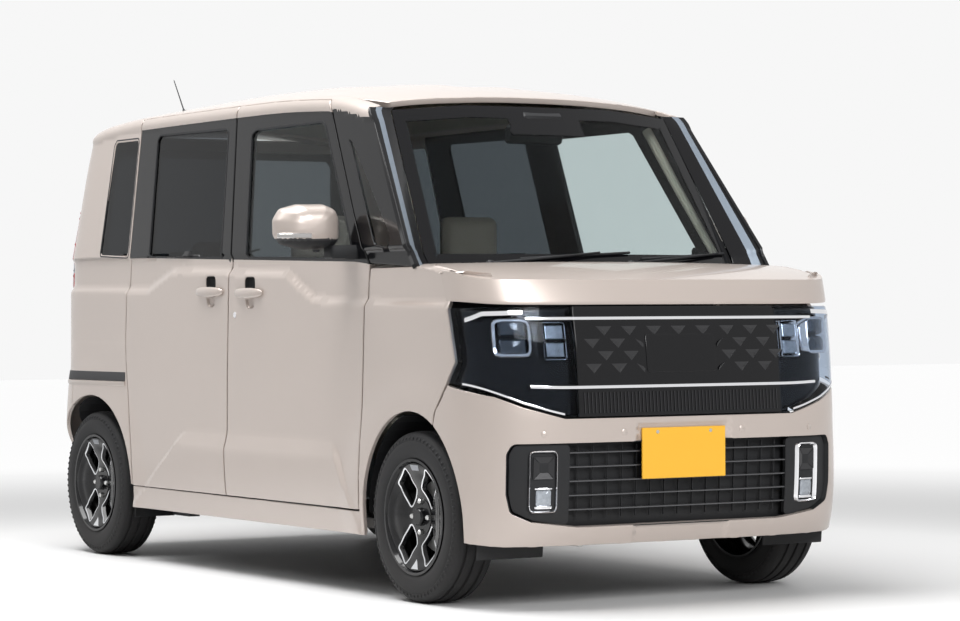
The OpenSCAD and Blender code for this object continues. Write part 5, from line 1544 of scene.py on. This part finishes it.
class KEICAR_OT_wheels(bpy.types.Operator):
    """Tyres with tread, and rims with machined window edges"""
    bl_idname = "keicar.wheels"
    bl_label = "Wheels"

    def tyre(self):
        profile = [(186, 62), (190, 74), (200, 80), (216, 82.4), (232, 82.6), (247, 81), (249, 79.6), (251, 80.6),
                   (262, 77.5), (270, 73), (275, 67), (278.4, 60), (280.2, 50), (281, 44)]
        grooves = []
        for centre in (38, 0, -38):
            grooves += [(281.1, centre + 6), (274.5, centre + 4.5), (274.5, centre - 4.5), (281.1, centre - 6)]
        outer = profile + grooves + [(r, -d) for r, d in profile[::-1]]
        inner = [(r - 7, d * 0.9) for r, d in ((193, -64), (204, -76), (240, -78), (268, -62), (274, 0), (268, 62),
                                               (240, 78), (204, 76), (193, 64))]
        return lathe([(r, -d) for r, d in outer + inner], 144)

    def rim_ring(self):
        """Barrel and flanges."""
        p = [(190.5, 80.5), (190.5, 77), (186, 75), (183, 66), (177, 60), (168, 20), (168, -40), (180, -62),
             (184, -70), (190.5, -77), (190.5, -80.5), (183, -80.5), (178, -74), (175, -62), (163, -42), (163, 22),
             (172, 62), (178, 72), (182, 80.5)]
        return lathe([(r, -d) for r, d in p], 96)

    def execute(self, context):
        black, bright, grey = finish("wheel_black"), finish("machined"), finish("wheel_grey")
        diamond = [(66, 27), (119, 106), (65, 157), (17, 92)]
        face = [(176 * math.cos(a), 176 * math.sin(a)) for a in np.linspace(0, 2 * math.pi, 97)[:-1]]
        holes = []
        for sx, sz in ((1, 1), (-1, 1), (-1, -1), (1, -1)):
            holes.append([(x * sx, z * sz) for x, z in soften(diamond, 9)])

        def disc(u, v, off=0.0):
            r = np.hypot(u, v)
            deep = 52 + 12 * ramp(r, 60, 130) - 6 * ramp(130 - r, -40, 60) + 8 * ramp(r, 140, 176)
            fold = 4 * np.cos(4 * np.arctan2(v, u))
            return np.stack([u, -(deep + fold * ramp(r, 40, 100) + off), v], -1)
        for axle in ("front", "rear"):
            for label, side in BODY_SIDES:
                at = (AXLES[axle], WHEEL_Y * side, WHEEL_Z)
                turn = Matrix.Identity(4) if side < 0 else Matrix.Rotation(math.pi, 4, "Z")
                tag = axle + "_" + label
                body = "wheel_" + tag
                tyre = Parts().add(self.tyre(), 0).build("tyre_casing_" + tag, [finish("rubber")], angle=30)
                pieces = [tyre]
                for low, high, bevel, start, shoulder in (
                        ((-4.3, -81.5, 272.5), (4.3, -60.5, 281.2), 1.2, 0.0, 21),
                        ((-4.3, 60.5, 272.5), (4.3, 81.5, 281.2), 1.2, 0.02, 21),
                        ((-6.5, -31, 273), (5.0, -8, 281.2), 0.8, 0.01, 0),
                        ((-5.0, 8, 273), (6.5, 31, 281.2), 0.8, 0.03, 0)):
                    v, f = block(low, high, bevel)
                    v = np.array(v)
                    v[:, 2] -= ramp(np.abs(v[:, 1]), 55, 84) * shoulder
                    pieces.append(repeat("tread", (v, f), "ring", finish("rubber"), Count=sizes().tread_blocks,
                                         Start=start))
                for p in pieces:
                    p.data.transform(Matrix.Translation(Vector(at) * MM) @ turn)
                ob = join("tyre_" + tag + "_skin", [right_way(p) for p in pieces])
                ob.data.set_sharp_from_angle(angle=math.radians(30))
                settle(ob, body, ["tyre_" + tag])
                rim = Parts().add(self.rim_ring(), 0).build("rim_barrel_" + tag, [black, bright, grey], angle=30)
                plate = skin("rim_face_" + tag, face, disc, [black, bright, grey], holes=holes, depth=14, step=9,
                             roll=1.5, out=(0, -1, 0))
                lips = Parts()
                for loop in holes:
                    loop = dense(loop, 5)
                    outer = inset(loop, -5)
                    inner = inset(loop, 5)
                    rings = [disc(outer[:, 0], outer[:, 1], 0.4), disc(loop[:, 0], loop[:, 1], 0.2),
                             disc(inner[:, 0], inner[:, 1], -11), disc(inner[:, 0], inner[:, 1], -15),
                             disc(outer[:, 0], outer[:, 1], -15)]
                    first = len(lips.f)
                    lips.add(hoops(rings), 0)
                    lips.z[first:first + len(loop)] = [1] * len(loop)
                for k in (0, 1):
                    a = math.radians(90 + 180 * k)
                    tri = [(152, -22), (170, -26), (170, 26), (152, 22)] if k == 0 else [(138, 0), (170, -22), (170, 22)]
                    loop = np.array([(x * math.cos(a) - y * math.sin(a), x * math.sin(a) + y * math.cos(a))
                                     for x, y in tri])
                    lips.add(stack(dense(loop, 8), disc, ((1, -3), (1, 0.8), (.03, 0.9), (.03, -3))), 2 - k)
                v, f = lathe([(0.5, -66), (24, -66), (27, -64), (28, -56), (30, -50), (30, -38), (0.5, -38)], 48)
                lips.add((v, f), 0)
                # hub behind the face, with the bore for the spindle
                v, f = lathe([(60, -48), (60, 20), (52, 30), (16.2, 30), (16.2, -48)], 64)
                lips.add((v, f), 0)
                lips = right_way(lips.build("rim_lips_" + tag, [black, bright, grey], angle=30))
                nut = lathe([(0.4, -14), (6, -14), (9.5, -10), (9.5, 4), (0.4, 4)], 6)
                v = np.array(nut[0]) + np.array([50, -46, 0])
                nuts = repeat("lug_nuts_" + tag, (v, nut[1]), "ring", finish("bare_steel"), Count=4, Start=0.0)
                for p in (rim, plate, lips, nuts):
                    p.data.transform(Matrix.Translation(Vector(at) * MM) @ turn)
                ob = join("rim_" + tag + "_skin", [right_way(rim), plate, lips, right_way(nuts)])
                ob.data.set_sharp_from_angle(angle=math.radians(32))
                settle(ob, body, ["rim_" + tag])
                knuckle_body = "knuckle_" + label if axle == "front" else "body"
                brake = Parts()
                v, f = lathe([(118, 12), (118, 20), (40, 20), (40, 12)], 72)
                brake.add((v, f), 0, turn, at)
                if axle == "front":
                    v, f = lathe([(126, -2), (126, 34), (84, 34), (84, -2)], 96)
                    first, last = 6, 25
                    keep = f[first * 4:last * 4]
                    ends = [tuple(first * 4 + j for j in range(4)), tuple(last * 4 + j for j in range(4))[::-1]]
                    brake.add((v, keep + ends), 1, turn, at)
                settle(right_way(brake.build("brake_" + tag, [finish("bare_steel"), finish("cast_metal")])),
                       knuckle_body)
        return {"FINISHED"}


# ---------------------------------------------------------------- mirrors, wipers and cowl


class KEICAR_OT_mirrors(bpy.types.Operator):
    """Door mirrors with cap, indicator strip, foot and glass"""
    bl_idname = "keicar.mirrors"
    bl_label = "Door mirrors"

    def execute(self, context):
        front = [(955, 1180), (982, 1208), (984, 1262), (960, 1300), (900, 1316), (806, 1318), (766, 1302), (752, 1270),
                 (752, 1192), (780, 1166), (880, 1162)]
        front = dense(soften(front, 30), 9)
        centre = front.mean(0)
        for label, side in BODY_SIDES:
            parts = Parts()
            n = len(front)
            rings = []
            for t in np.linspace(0, 1, 15):
                a = t * math.pi / 2
                k = max(math.cos(a) ** 0.55, 0.02)
                loop = centre + (front - centre) * k
                depth = 708 + 92 * math.sin(a) ** 0.9
                sweep = -0.10 * (loop[:, 0] - 760)
                x = depth + sweep * min(1, math.sin(a) + 0.35)
                rings.append(np.stack([x, loop[:, 0], loop[:, 1]], 1))
            lip = centre + (front - centre) * 0.93
            rings = [np.stack([np.full(n, 716.0) - 0.1 * (lip[:, 0] - 760) * 0.35, lip[:, 0], lip[:, 1]], 1),
                     np.stack([np.full(n, 704.0) - 0.1 * (lip[:, 0] - 760) * 0.35, lip[:, 0], lip[:, 1]], 1)] + rings
            tip = np.array([[rings[-1][:, 0].mean(), *centre]])
            back = np.array([[714.0, *centre]])
            verts = np.vstack(rings + [tip, back])
            m = len(rings)
            faces, zones = [], []
            for i in range(m - 1):
                for j in range(n):
                    q = (i * n + j, i * n + (j + 1) % n, (i + 1) * n + (j + 1) % n, (i + 1) * n + j)
                    mid = verts[list(q)].mean(0)
                    faces.append(q)
                    zones.append(1 if i < 2 or mid[2] < 1192 else (2 if mid[2] < 1200 and mid[0] > 700 else 0))
            faces += [((m - 1) * n + j, (m - 1) * n + (j + 1) % n, m * n) for j in range(n)]
            zones += [0] * n
            faces += [((j + 1) % n, j, m * n + 1) for j in range(n)]
            zones += [1] * n
            parts.v, parts.f, parts.z = list(verts * [1, side, 1]), faces, zones
            # indicator strip round the outer front
            strip = []
            ang = np.linspace(-0.2, 1.25, 24)
            for zz, off in ((1200, 0.5), (1203, 3.5), (1214, 3.5), (1217, 0.5), (1214, -5), (1203, -5)):
                row = []
                for a in ang:
                    y = 800 + (984 + off - 800) * math.sin(max(a, 0.0) + 0.25) ** 0.6
                    x = 712 + (86 + off) * max(math.cos(a), 0) ** 0.5 - 0.1 * (y - 760) * 0.9
                    row.append((x, y, zz))
                strip.append(np.array(row))
            v, f = bar(strip)
            parts.add((v * [1, side, 1], f), 3)
            foot = [(724, 806), (792, 806), (822, 722), (818, 706), (742, 706)]
            loop = dense(soften(foot, 14), 10)
            k = len(loop)
            fr = [np.stack([*(loop.mean(0) + (loop - loop.mean(0)) * w).T, np.full(k, z)], 1)
                  for z, w in ((1132, 0.9), (1138, 1.0), (1168, 1.0), (1178, 0.9))]
            fv = np.vstack(fr) * [1, side, 1]
            ff = [(a * k + j, a * k + (j + 1) % k, (a + 1) * k + (j + 1) % k, (a + 1) * k + j)
                  for a in range(3) for j in range(k)]
            ff += [tuple(range(k))[::-1], tuple(3 * k + j for j in range(k))]
            parts.add((fv, ff), 1)
            pane = inset(dense(front, 12), 14)
            k = len(pane)
            pv = np.vstack([np.stack([np.full(k, x) - 0.035 * (pane[:, 0] - 760), pane[:, 0], pane[:, 1]], 1)
                            for x in (709.0, 713.0)])
            pf = [(j, (j + 1) % k, k + (j + 1) % k, k + j) for j in range(k)]
            pf += [tuple(range(k)), tuple(k + j for j in range(k))[::-1]]
            parts.add((pv * [1, side, 1], pf), 4)
            v, f = lathe([(0.5, 0), (13, 0), (11, 8), (0.5, 9)], 24)
            parts.add((v, f), 1, turned(-90, "X"), (742, 838 * side, 1163))
            ob = parts.build("mirror_" + label, [finish("paint"), finish("dark_plastic"), finish("seal"),
                                                finish("indicator"), finish("mirror")], angle=40)
            settle(right_way(ob), "door_" + label, ["door_mirror_" + label])
        return {"FINISHED"}


class KEICAR_OT_wipers(bpy.types.Operator):
    """Wipers and the cowl under them"""
    bl_idname = "keicar.wipers"
    bl_label = "Wipers"

    def execute(self, context):
        parts = Parts()
        for y0 in (-420, 120):
            a = screen(np.array([y0]), np.array([1112.0]), 22)[0]
            b = screen(np.array([y0 + 430]), np.array([1150.0]), 16)[0]
            t = np.linspace(0, 1, 14)
            path = a + (b - a) * t[:, None]
            path[:, 0] += 12 * np.sin(t * math.pi)
            parts.add(tube(path, 6.2 - 2.6 * t, 10))
            blade = screen(np.linspace(y0 + 120, y0 + 560, 20) if y0 < 0 else np.linspace(y0 + 60, y0 + 470, 20),
                           np.linspace(1128, 1150, 20), 9)
            parts.add(tube(blade, 4.5, 8))
            v, f = lathe([(0.5, -14), (15, -14), (14, 8), (9, 14), (0.5, 15)], 24)
            parts.add((v, f), 0, turned(90, "X"), a - np.array([0, 0, 4]))
        settle(right_way(parts.build("wiper_arms", [finish("dark_plastic")])), "body", ["wipers"])

        def cowl(u, y, off=0.0):
            back = screen(y, np.full_like(y, 1104.0), 6)[..., 0]
            front = 1262 - 62 * (y / 640) ** 2 - 8
            t = u / 100.0
            return np.stack([back + (front - back) * t, y, 1102 - 16 * t + off], -1)
        ob = skin("cowl_cover", [(0, -612), (100, -612), (100, 612), (0, 612)], cowl, [finish("dark_plastic")], depth=4,
                  step=20, out=(0, 0, 1), roll=0.5)
        settle(ob, "body")
        return {"FINISHED"}


# ---------------------------------------------------------------- cabin


def cushion(name, low, high, crown, seams, puff=10, lean=0.0, mat=None):
    """A padded form: a rounded block crowned on its large faces, with grooves at its seams."""
    (x0, y0, z0), (x1, y1, z1) = low, high
    size = np.array([x1 - x0, y1 - y0, z1 - z0])
    mid = np.array([x0 + x1, y0 + y1, z0 + z1]) / 2
    n = 18
    bm = bmesh.new()
    bmesh.ops.create_cube(bm, size=2.0)
    bmesh.ops.subdivide_edges(bm, edges=bm.edges, cuts=n, use_grid_fill=True)
    co = np.array([v.co for v in bm.verts])
    thin = int(np.argmin(size))
    others = [i for i in range(3) if i != thin]
    half = size / 2
    p = co * half
    r = min(size[thin] * 0.42, 50)
    core = np.clip(p, -(half - r), half - r)
    d = p - core
    length = np.linalg.norm(d, axis=1, keepdims=True)
    p = core + d / np.maximum(length, 1e-6) * np.minimum(length, r)
    a, b = co[:, others[0]], co[:, others[1]]
    dome = (1 - np.abs(a) ** 3) * (1 - np.abs(b) ** 3)
    grow = crown * dome * co[:, thin]
    for axis, place in seams:
        across = co[:, others[axis]]
        grow -= 7 * np.exp(-((across - place) / 0.055) ** 2) * np.sign(co[:, thin]) * (np.abs(co[:, thin]) > 0.8)
    p[:, thin] += grow
    p[:, thin] -= crown * 0.35 * np.sign(co[:, thin])
    p += mid
    p[:, 0] -= lean * (p[:, 2] - z0)
    for v, q in zip(bm.verts, p):
        v.co = Vector(q * MM)
    me = bpy.data.meshes.new(name)
    bm.to_mesh(me)
    bm.free()
    me.materials.append(mat)
    me.polygons.foreach_set("use_smooth", np.ones(len(me.polygons), bool))
    ob = bpy.data.objects.new(name, me)
    bpy.context.scene.collection.objects.link(ob)
    return ob


class KEICAR_OT_seats(bpy.types.Operator):
    """Padded seats, front and rear"""
    bl_idname = "keicar.seats"
    bl_label = "Seats"

    def execute(self, context):
        cloth = finish("seat_cloth")
        for row, spots, nodes in (
                ("front", ((70, 570), (-570, -70)), ["front_seats"]), ("rear", ((8, 548), (-548, -8)), ["rear_seat"])):
            for i, (y0, y1) in enumerate(spots):
                if row == "front":
                    sets = (("base", (-70, y0, 400), (400, y1, 560), 0.0), ("back", (-150, y0 + 10, 540),
                            (-30, y1 - 10, 1110), 0.14), ("rest", (-215, y0 + 130, 1130), (-135, y1 - 130, 1310), 0.0))
                else:
                    sets = (("base", (-960, y0, 420), (-490, y1, 560), 0.0), ("back", (-1050, y0, 545),
                            (-940, y1, 1050), 0.1), ("rest", (-1120, y0 + 150, 1070), (-1045, y1 - 150, 1230), 0.0))
                for part, low, high, lean in sets:
                    seams = [(1, -0.55), (1, 0.55)] if part == "base" else [(0, -0.55), (0, 0.55)]
                    if part == "rest":
                        seams = []
                    pad = cushion("%s_seat_%s_%d" % (row, part, i), low, high, 14, seams, lean=lean, mat=cloth)
                    settle(pad, "body")
            frame_parts = Parts()
            for y0, y1 in spots:
                x = -130 if row == "front" else -1065
                for y in ((y0 + y1) / 2 - 60, (y0 + y1) / 2 + 60):
                    z0, z1 = (1060, 1200) if row == "front" else (1020, 1130)
                    frame_parts.add(tube([(x - 30, y, z0), (x - 42, y, z1)], 6, 12), 0)
                if row == "front":
                    for y in (y0 + 60, y1 - 60):
                        frame_parts.add(block((-60, y - 18, 385), (380, y + 18, 404), 2), 0)
            ob = frame_parts.build(row + "_seat_frames", [finish("dark_metal")])
            settle(ob, "body")
            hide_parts(*nodes)
        return {"FINISHED"}


class KEICAR_OT_cabin(bpy.types.Operator):
    """Steering wheel, inner mirror, camera housing, door trims and pillar linings"""
    bl_idname = "keicar.cabin"
    bl_label = "Cabin"

    def execute(self, context):
        tilt = math.radians(24)
        hub = np.array([540.0, -350.0, 958.0])
        axis = np.array([-math.cos(tilt), 0, math.sin(tilt)])
        up = np.array([math.sin(tilt), 0, math.cos(tilt)])
        across = np.array([0, 1.0, 0])
        parts = Parts()
        t = np.linspace(0, 2 * math.pi, 65)[:-1]
        ring = [hub + 178 * (math.cos(a) * up + math.sin(a) * across) for a in t]
        parts.add(tube(ring, 14, 16, closed=True), 0)
        for a in (math.pi / 2, -math.pi / 2, math.pi):
            d = math.cos(a) * up + math.sin(a) * across
            parts.add(tube([hub + d * 40 - axis * 6, hub + d * 110 - axis * 4, hub + d * 174], [15, 11, 13], 12), 0)
        v, f = lathe([(0.5, -20), (58, -20), (62, -8), (56, 12), (34, 22), (0.5, 24)], 40)
        basis = np.stack([across, axis, np.cross(across, axis)], 1)
        parts.add((np.array(v) @ basis.T + hub, f), 0)
        parts.add(tube([hub - axis * 20, hub - axis * 105], 10, 16), 1)
        settle(right_way(parts.build("steering_wheel_rim", [finish("dash"), finish("bare_steel")])), "steering_wheel",
               ["steering_wheel"])
        inner = Parts()
        stem = screen(np.array([0.0]), np.array([1610.0]), -14)[0]
        inner.add(tube([stem, stem + [-40, 0, -30]], 8, 10), 0)
        inner.add(block((-12, -118, -34), (12, 118, 34), 10), 0, turned(12, "Y"),
                  stem + [-58, 0, -42])
        inner.add(block((-34, -84, -26), (30, 84, 22), 10), 0, turned(-50, "Y"),
                  stem + [-26, 0, 8])
        settle(inner.build("inner_mirror", [finish("dark_plastic")]), "body")
        # instrument hood and screen on top of the dashboard
        hood = Parts()
        hood.add(block((640, -480, 1046), (780, -220, 1092), 22), 0)
        hood.add(block((660, -120, 1040), (690, 120, 1120), 8), 0)
        settle(hood.build("dashboard_hood", [finish("dash")]), "body")
        for label, side in BODY_SIDES:
            trim = Parts()
            v, f = block((20, 668, 320), (840, 684, 1110), 6)
            trim.add((np.array(v) * [1, side, 1], f), 0)
            rest = block((180, 640, 800), (620, 672, 850), 12)
            trim.add((np.array(rest[0]) * [1, side, 1], rest[1]), 1)
            grab, gf = tube([(150, 668, 980), (160, 640, 1000), (260, 634, 1010), (300, 668, 1010)], 10, 10)
            trim.add((np.array(grab) * [1, side, 1], gf), 1)
            settle(right_way(trim.build("door_trim_" + label, [finish("dash"), finish("inner_trim")])),
                   "door_" + label)
            lining = Parts()
            pts = [(1080, 1140), (900, 1380), (740, 1600)]
            path = []
            for x, z in pts:
                y = 600 if z < 1200 else 590 - (z - 1200) * 0.12
                path.append((x - 36, y * side, z))
            lining.add(tube(path, [14, 16, 18], 10), 0)
            settle(right_way(lining.build("pillar_lining_" + label, [finish("inner_trim")])), "body")
        roof_lining = skin("roof_lining", [(-1420, 560), (600, 560), (700, 500), (700, -500), (600, -560),
                                           (-1420, -560)], lambda x, y, off=0.0: roof(x, y, off - 44),
                           [finish("inner_trim")], depth=6, step=60, roll=0.0, out=(0, 0, 1))
        settle(roof_lining, "body")
        return {"FINISHED"}


# ---------------------------------------------------------------- what stays of the CAD, and the stage


class KEICAR_OT_underside(bpy.types.Operator):
    """Finishes for the pieces that keep their CAD shape"""
    bl_idname = "keicar.underside"
    bl_label = "Underside and chassis"

    def execute(self, context):
        by_slot = {"paint": "paint", "gloss_black": "gloss_black", "dark_plastic": "dark_plastic",
                   "lamp_lens": "lens", "lamp_red": "lamp_red", "plate_yellow": "plate", "clear_glass": "clear_glass",
                   "dark_glass": "dark_glass", "underbody": "underbody", "seat_fabric": "seat_cloth",
                   "cast_metal": "cast_metal", "dark_metal": "dark_metal", "bare_steel": "bare_steel",
                   "tyre_rubber": "rubber", "wheel_alloy": "wheel_black"}
        slots = {s["node"]: s["material_slot"] for s in frame["record"]["subparts"]}
        for node, ob in frame["nodes"].items():
            mat = finish("dash" if node == "dashboard" else by_slot[slots[node]])
            ob.data.materials.clear()
            ob.data.materials.append(mat)
        flaps = Parts()
        for side in (-1, 1):
            for x, tilt in ((1530, 6), (-1010, 6)):
                turn = turned(tilt, "Y")
                wide = (440, 690) if x > 0 else (520, 690)
                low, high = sorted((wide[0] * side, wide[1] * side))
                flaps.add(block((-3, low, -46), (3, high, 40), 2), 0, turn, (x, 0, 205))
        settle(flaps.build("air_deflectors", [finish("dark_plastic")]), "body")
        for label, side in BODY_SIDES:
            parts = Parts()
            coil = []
            base = np.array([1176.0, 516.0 * side, 330.0])
            top = np.array([1173.0, 474.0 * side, 880.0])
            for i in range(140):
                t = i / 139
                a = t * 2 * math.pi * 6
                c = base + (top - base) * (0.45 + 0.5 * t)
                coil.append(c + np.array([46 * math.cos(a), 46 * math.sin(a), 0]))
            parts.add(tube(coil, 6, 8), 0)
            settle(right_way(parts.build("front_spring_" + label, [finish("dark_metal")])), "body")
        return {"FINISHED"}


def background_rays(tree):
    """1 where a ray sees the pale background: from the camera, in a reflection or through glass."""
    path, calc = tree.nodes.new("ShaderNodeLightPath").outputs, calculator(tree)
    return calc("MAXIMUM", calc("MAXIMUM", path["Is Camera Ray"], path["Is Transmission Ray"]),
                path["Is Glossy Ray"])


class KEICAR_OT_stage(bpy.types.Operator):
    """Floor, backdrop, lamps and camera"""
    bl_idname = "keicar.stage"
    bl_label = "Stage"

    def execute(self, context):
        floor = add_mesh("floor", [(-3e4, -3e4, 0), (3e4, -3e4, 0), (3e4, 3e4, 0), (-3e4, 3e4, 0)], [(0, 1, 2, 3)], [])
        mat = bpy.data.materials.new("stage_floor")
        mat.use_nodes = True
        shader = mat.node_tree.nodes["Principled BSDF"]
        shader.inputs["Roughness"].default_value = 0.6
        nodes, join_up = mat.node_tree.nodes, mat.node_tree.links.new
        at = nodes.new("ShaderNodeTexCoord")
        far = nodes.new("ShaderNodeVectorMath")
        far.operation = "LENGTH"
        join_up(at.outputs["Object"], far.inputs[0])
        glow = nodes.new("ShaderNodeMapRange")
        glow.interpolation_type = "SMOOTHSTEP"
        glow.inputs["From Min"].default_value = 2.6
        glow.inputs["From Max"].default_value = 8.0
        glow.inputs["To Max"].default_value = 0.8
        join_up(far.outputs["Value"], glow.inputs["Value"])
        shader.inputs["Emission Color"].default_value = (1, 1, 1, 1)
        shine = calculator(mat.node_tree)("MULTIPLY", glow.outputs["Result"], background_rays(mat.node_tree))
        join_up(shine, shader.inputs["Emission Strength"])
        dim = nodes.new("ShaderNodeMapRange")
        dim.inputs["From Min"].default_value = 2.6
        dim.inputs["From Max"].default_value = 7.0
        dim.inputs["To Min"].default_value = 0.78
        dim.inputs["To Max"].default_value = 0.1
        join_up(far.outputs["Value"], dim.inputs["Value"])
        join_up(dim.outputs["Result"], shader.inputs["Base Color"])
        floor.data.materials.append(mat)
        world = bpy.data.worlds.new("studio")
        bpy.context.scene.world = world
        world.use_nodes = True
        n, link = world.node_tree.nodes, world.node_tree.links.new
        back = n["Background"]
        strength = n.new("ShaderNodeMapRange")
        strength.inputs["To Min"].default_value = 0.12
        strength.inputs["To Max"].default_value = 0.93
        link(background_rays(world.node_tree), strength.inputs["Value"])
        link(strength.outputs["Result"], back.inputs["Strength"])
        back.inputs["Color"].default_value = (1, 1, 1, 1)
        for name, place, size, power in (("key", (8.0, -0.2, 4.2), 3.0, 400), ("fill", (-1.5, -6.5, 6.0), 3.0, 70),
                                         ("top", (-0.3, -1.6, 6.0), 4.0, 540)):
            lamp = bpy.data.lights.new(name, "AREA")
            lamp.size = size
            lamp.energy = power
            ob = bpy.data.objects.new(name, lamp)
            ob.location = place
            ob.rotation_euler = (Vector((0.4, 0, 0.8)) - Vector(place)).to_track_quat("-Z", "Y").to_euler()
            bpy.context.scene.collection.objects.link(ob)
        cam = bpy.data.cameras.new("camera")
        cam.sensor_width = 36
        cam.lens = 3110 / 960 * 36
        cam.clip_end = 100
        ob = bpy.data.objects.new("camera", cam)
        yaw, pitch, turn = math.radians(148.49), math.radians(-0.043), math.radians(-0.276)
        d = Vector((math.cos(pitch) * math.cos(yaw), math.cos(pitch) * math.sin(yaw), math.sin(pitch)))
        right = d.cross(Vector((0, 0, 1))).normalized()
        up = right.cross(d)
        r2 = right * math.cos(turn) + up * math.sin(turn)
        u2 = up * math.cos(turn) - right * math.sin(turn)
        m = Matrix((r2, u2, -d)).transposed().to_4x4()
        m.translation = Vector((9.974, -5.851, 0.963))
        ob.matrix_world = m
        bpy.context.scene.collection.objects.link(ob)
        bpy.context.scene.camera = ob
        bpy.context.scene.view_settings.view_transform = "Standard"
        return {"FINISHED"}


# ---------------------------------------------------------------- add-on


STEPS = (KEICAR_OT_underside, KEICAR_OT_side_frames, KEICAR_OT_doors, KEICAR_OT_fenders, KEICAR_OT_bonnet,
         KEICAR_OT_nose, KEICAR_OT_plates, KEICAR_OT_front_lamps, KEICAR_OT_tail, KEICAR_OT_roof, KEICAR_OT_glass,
         KEICAR_OT_wheels, KEICAR_OT_mirrors, KEICAR_OT_wipers, KEICAR_OT_seats, KEICAR_OT_cabin, KEICAR_OT_stage)


class KEICAR_PT_builder(bpy.types.Panel):
    """Lists the steps that build the car, with the sizes and colours they use"""
    bl_idname = "KEICAR_PT_builder"
    bl_label = "Kei car"
    bl_space_type = "VIEW_3D"
    bl_region_type = "UI"
    bl_category = "Kei car"

    def draw(self, context):
        for group in (context.scene.kei_sizes, context.scene.kei_colours):
            for prop in group.bl_rna.properties:
                if prop.identifier not in ("rna_type", "name"):
                    self.layout.prop(group, prop.identifier)
        for step in STEPS:
            self.layout.operator(step.bl_idname)


CLASSES = (KeiCarSizes, KeiCarColours, *STEPS, KEICAR_PT_builder)


def register():
    for cls in CLASSES:
        bpy.utils.register_class(cls)
    bpy.types.Scene.kei_sizes = bpy.props.PointerProperty(type=KeiCarSizes)
    bpy.types.Scene.kei_colours = bpy.props.PointerProperty(type=KeiCarColours)


def unregister():
    del bpy.types.Scene.kei_sizes
    del bpy.types.Scene.kei_colours
    for cls in reversed(CLASSES):
        bpy.utils.unregister_class(cls)


def main():
    register()
    for step in STEPS:
        group, name = step.bl_idname.split(".")
        getattr(getattr(bpy.ops, group), name)()


if __name__ == "__main__":
    main()
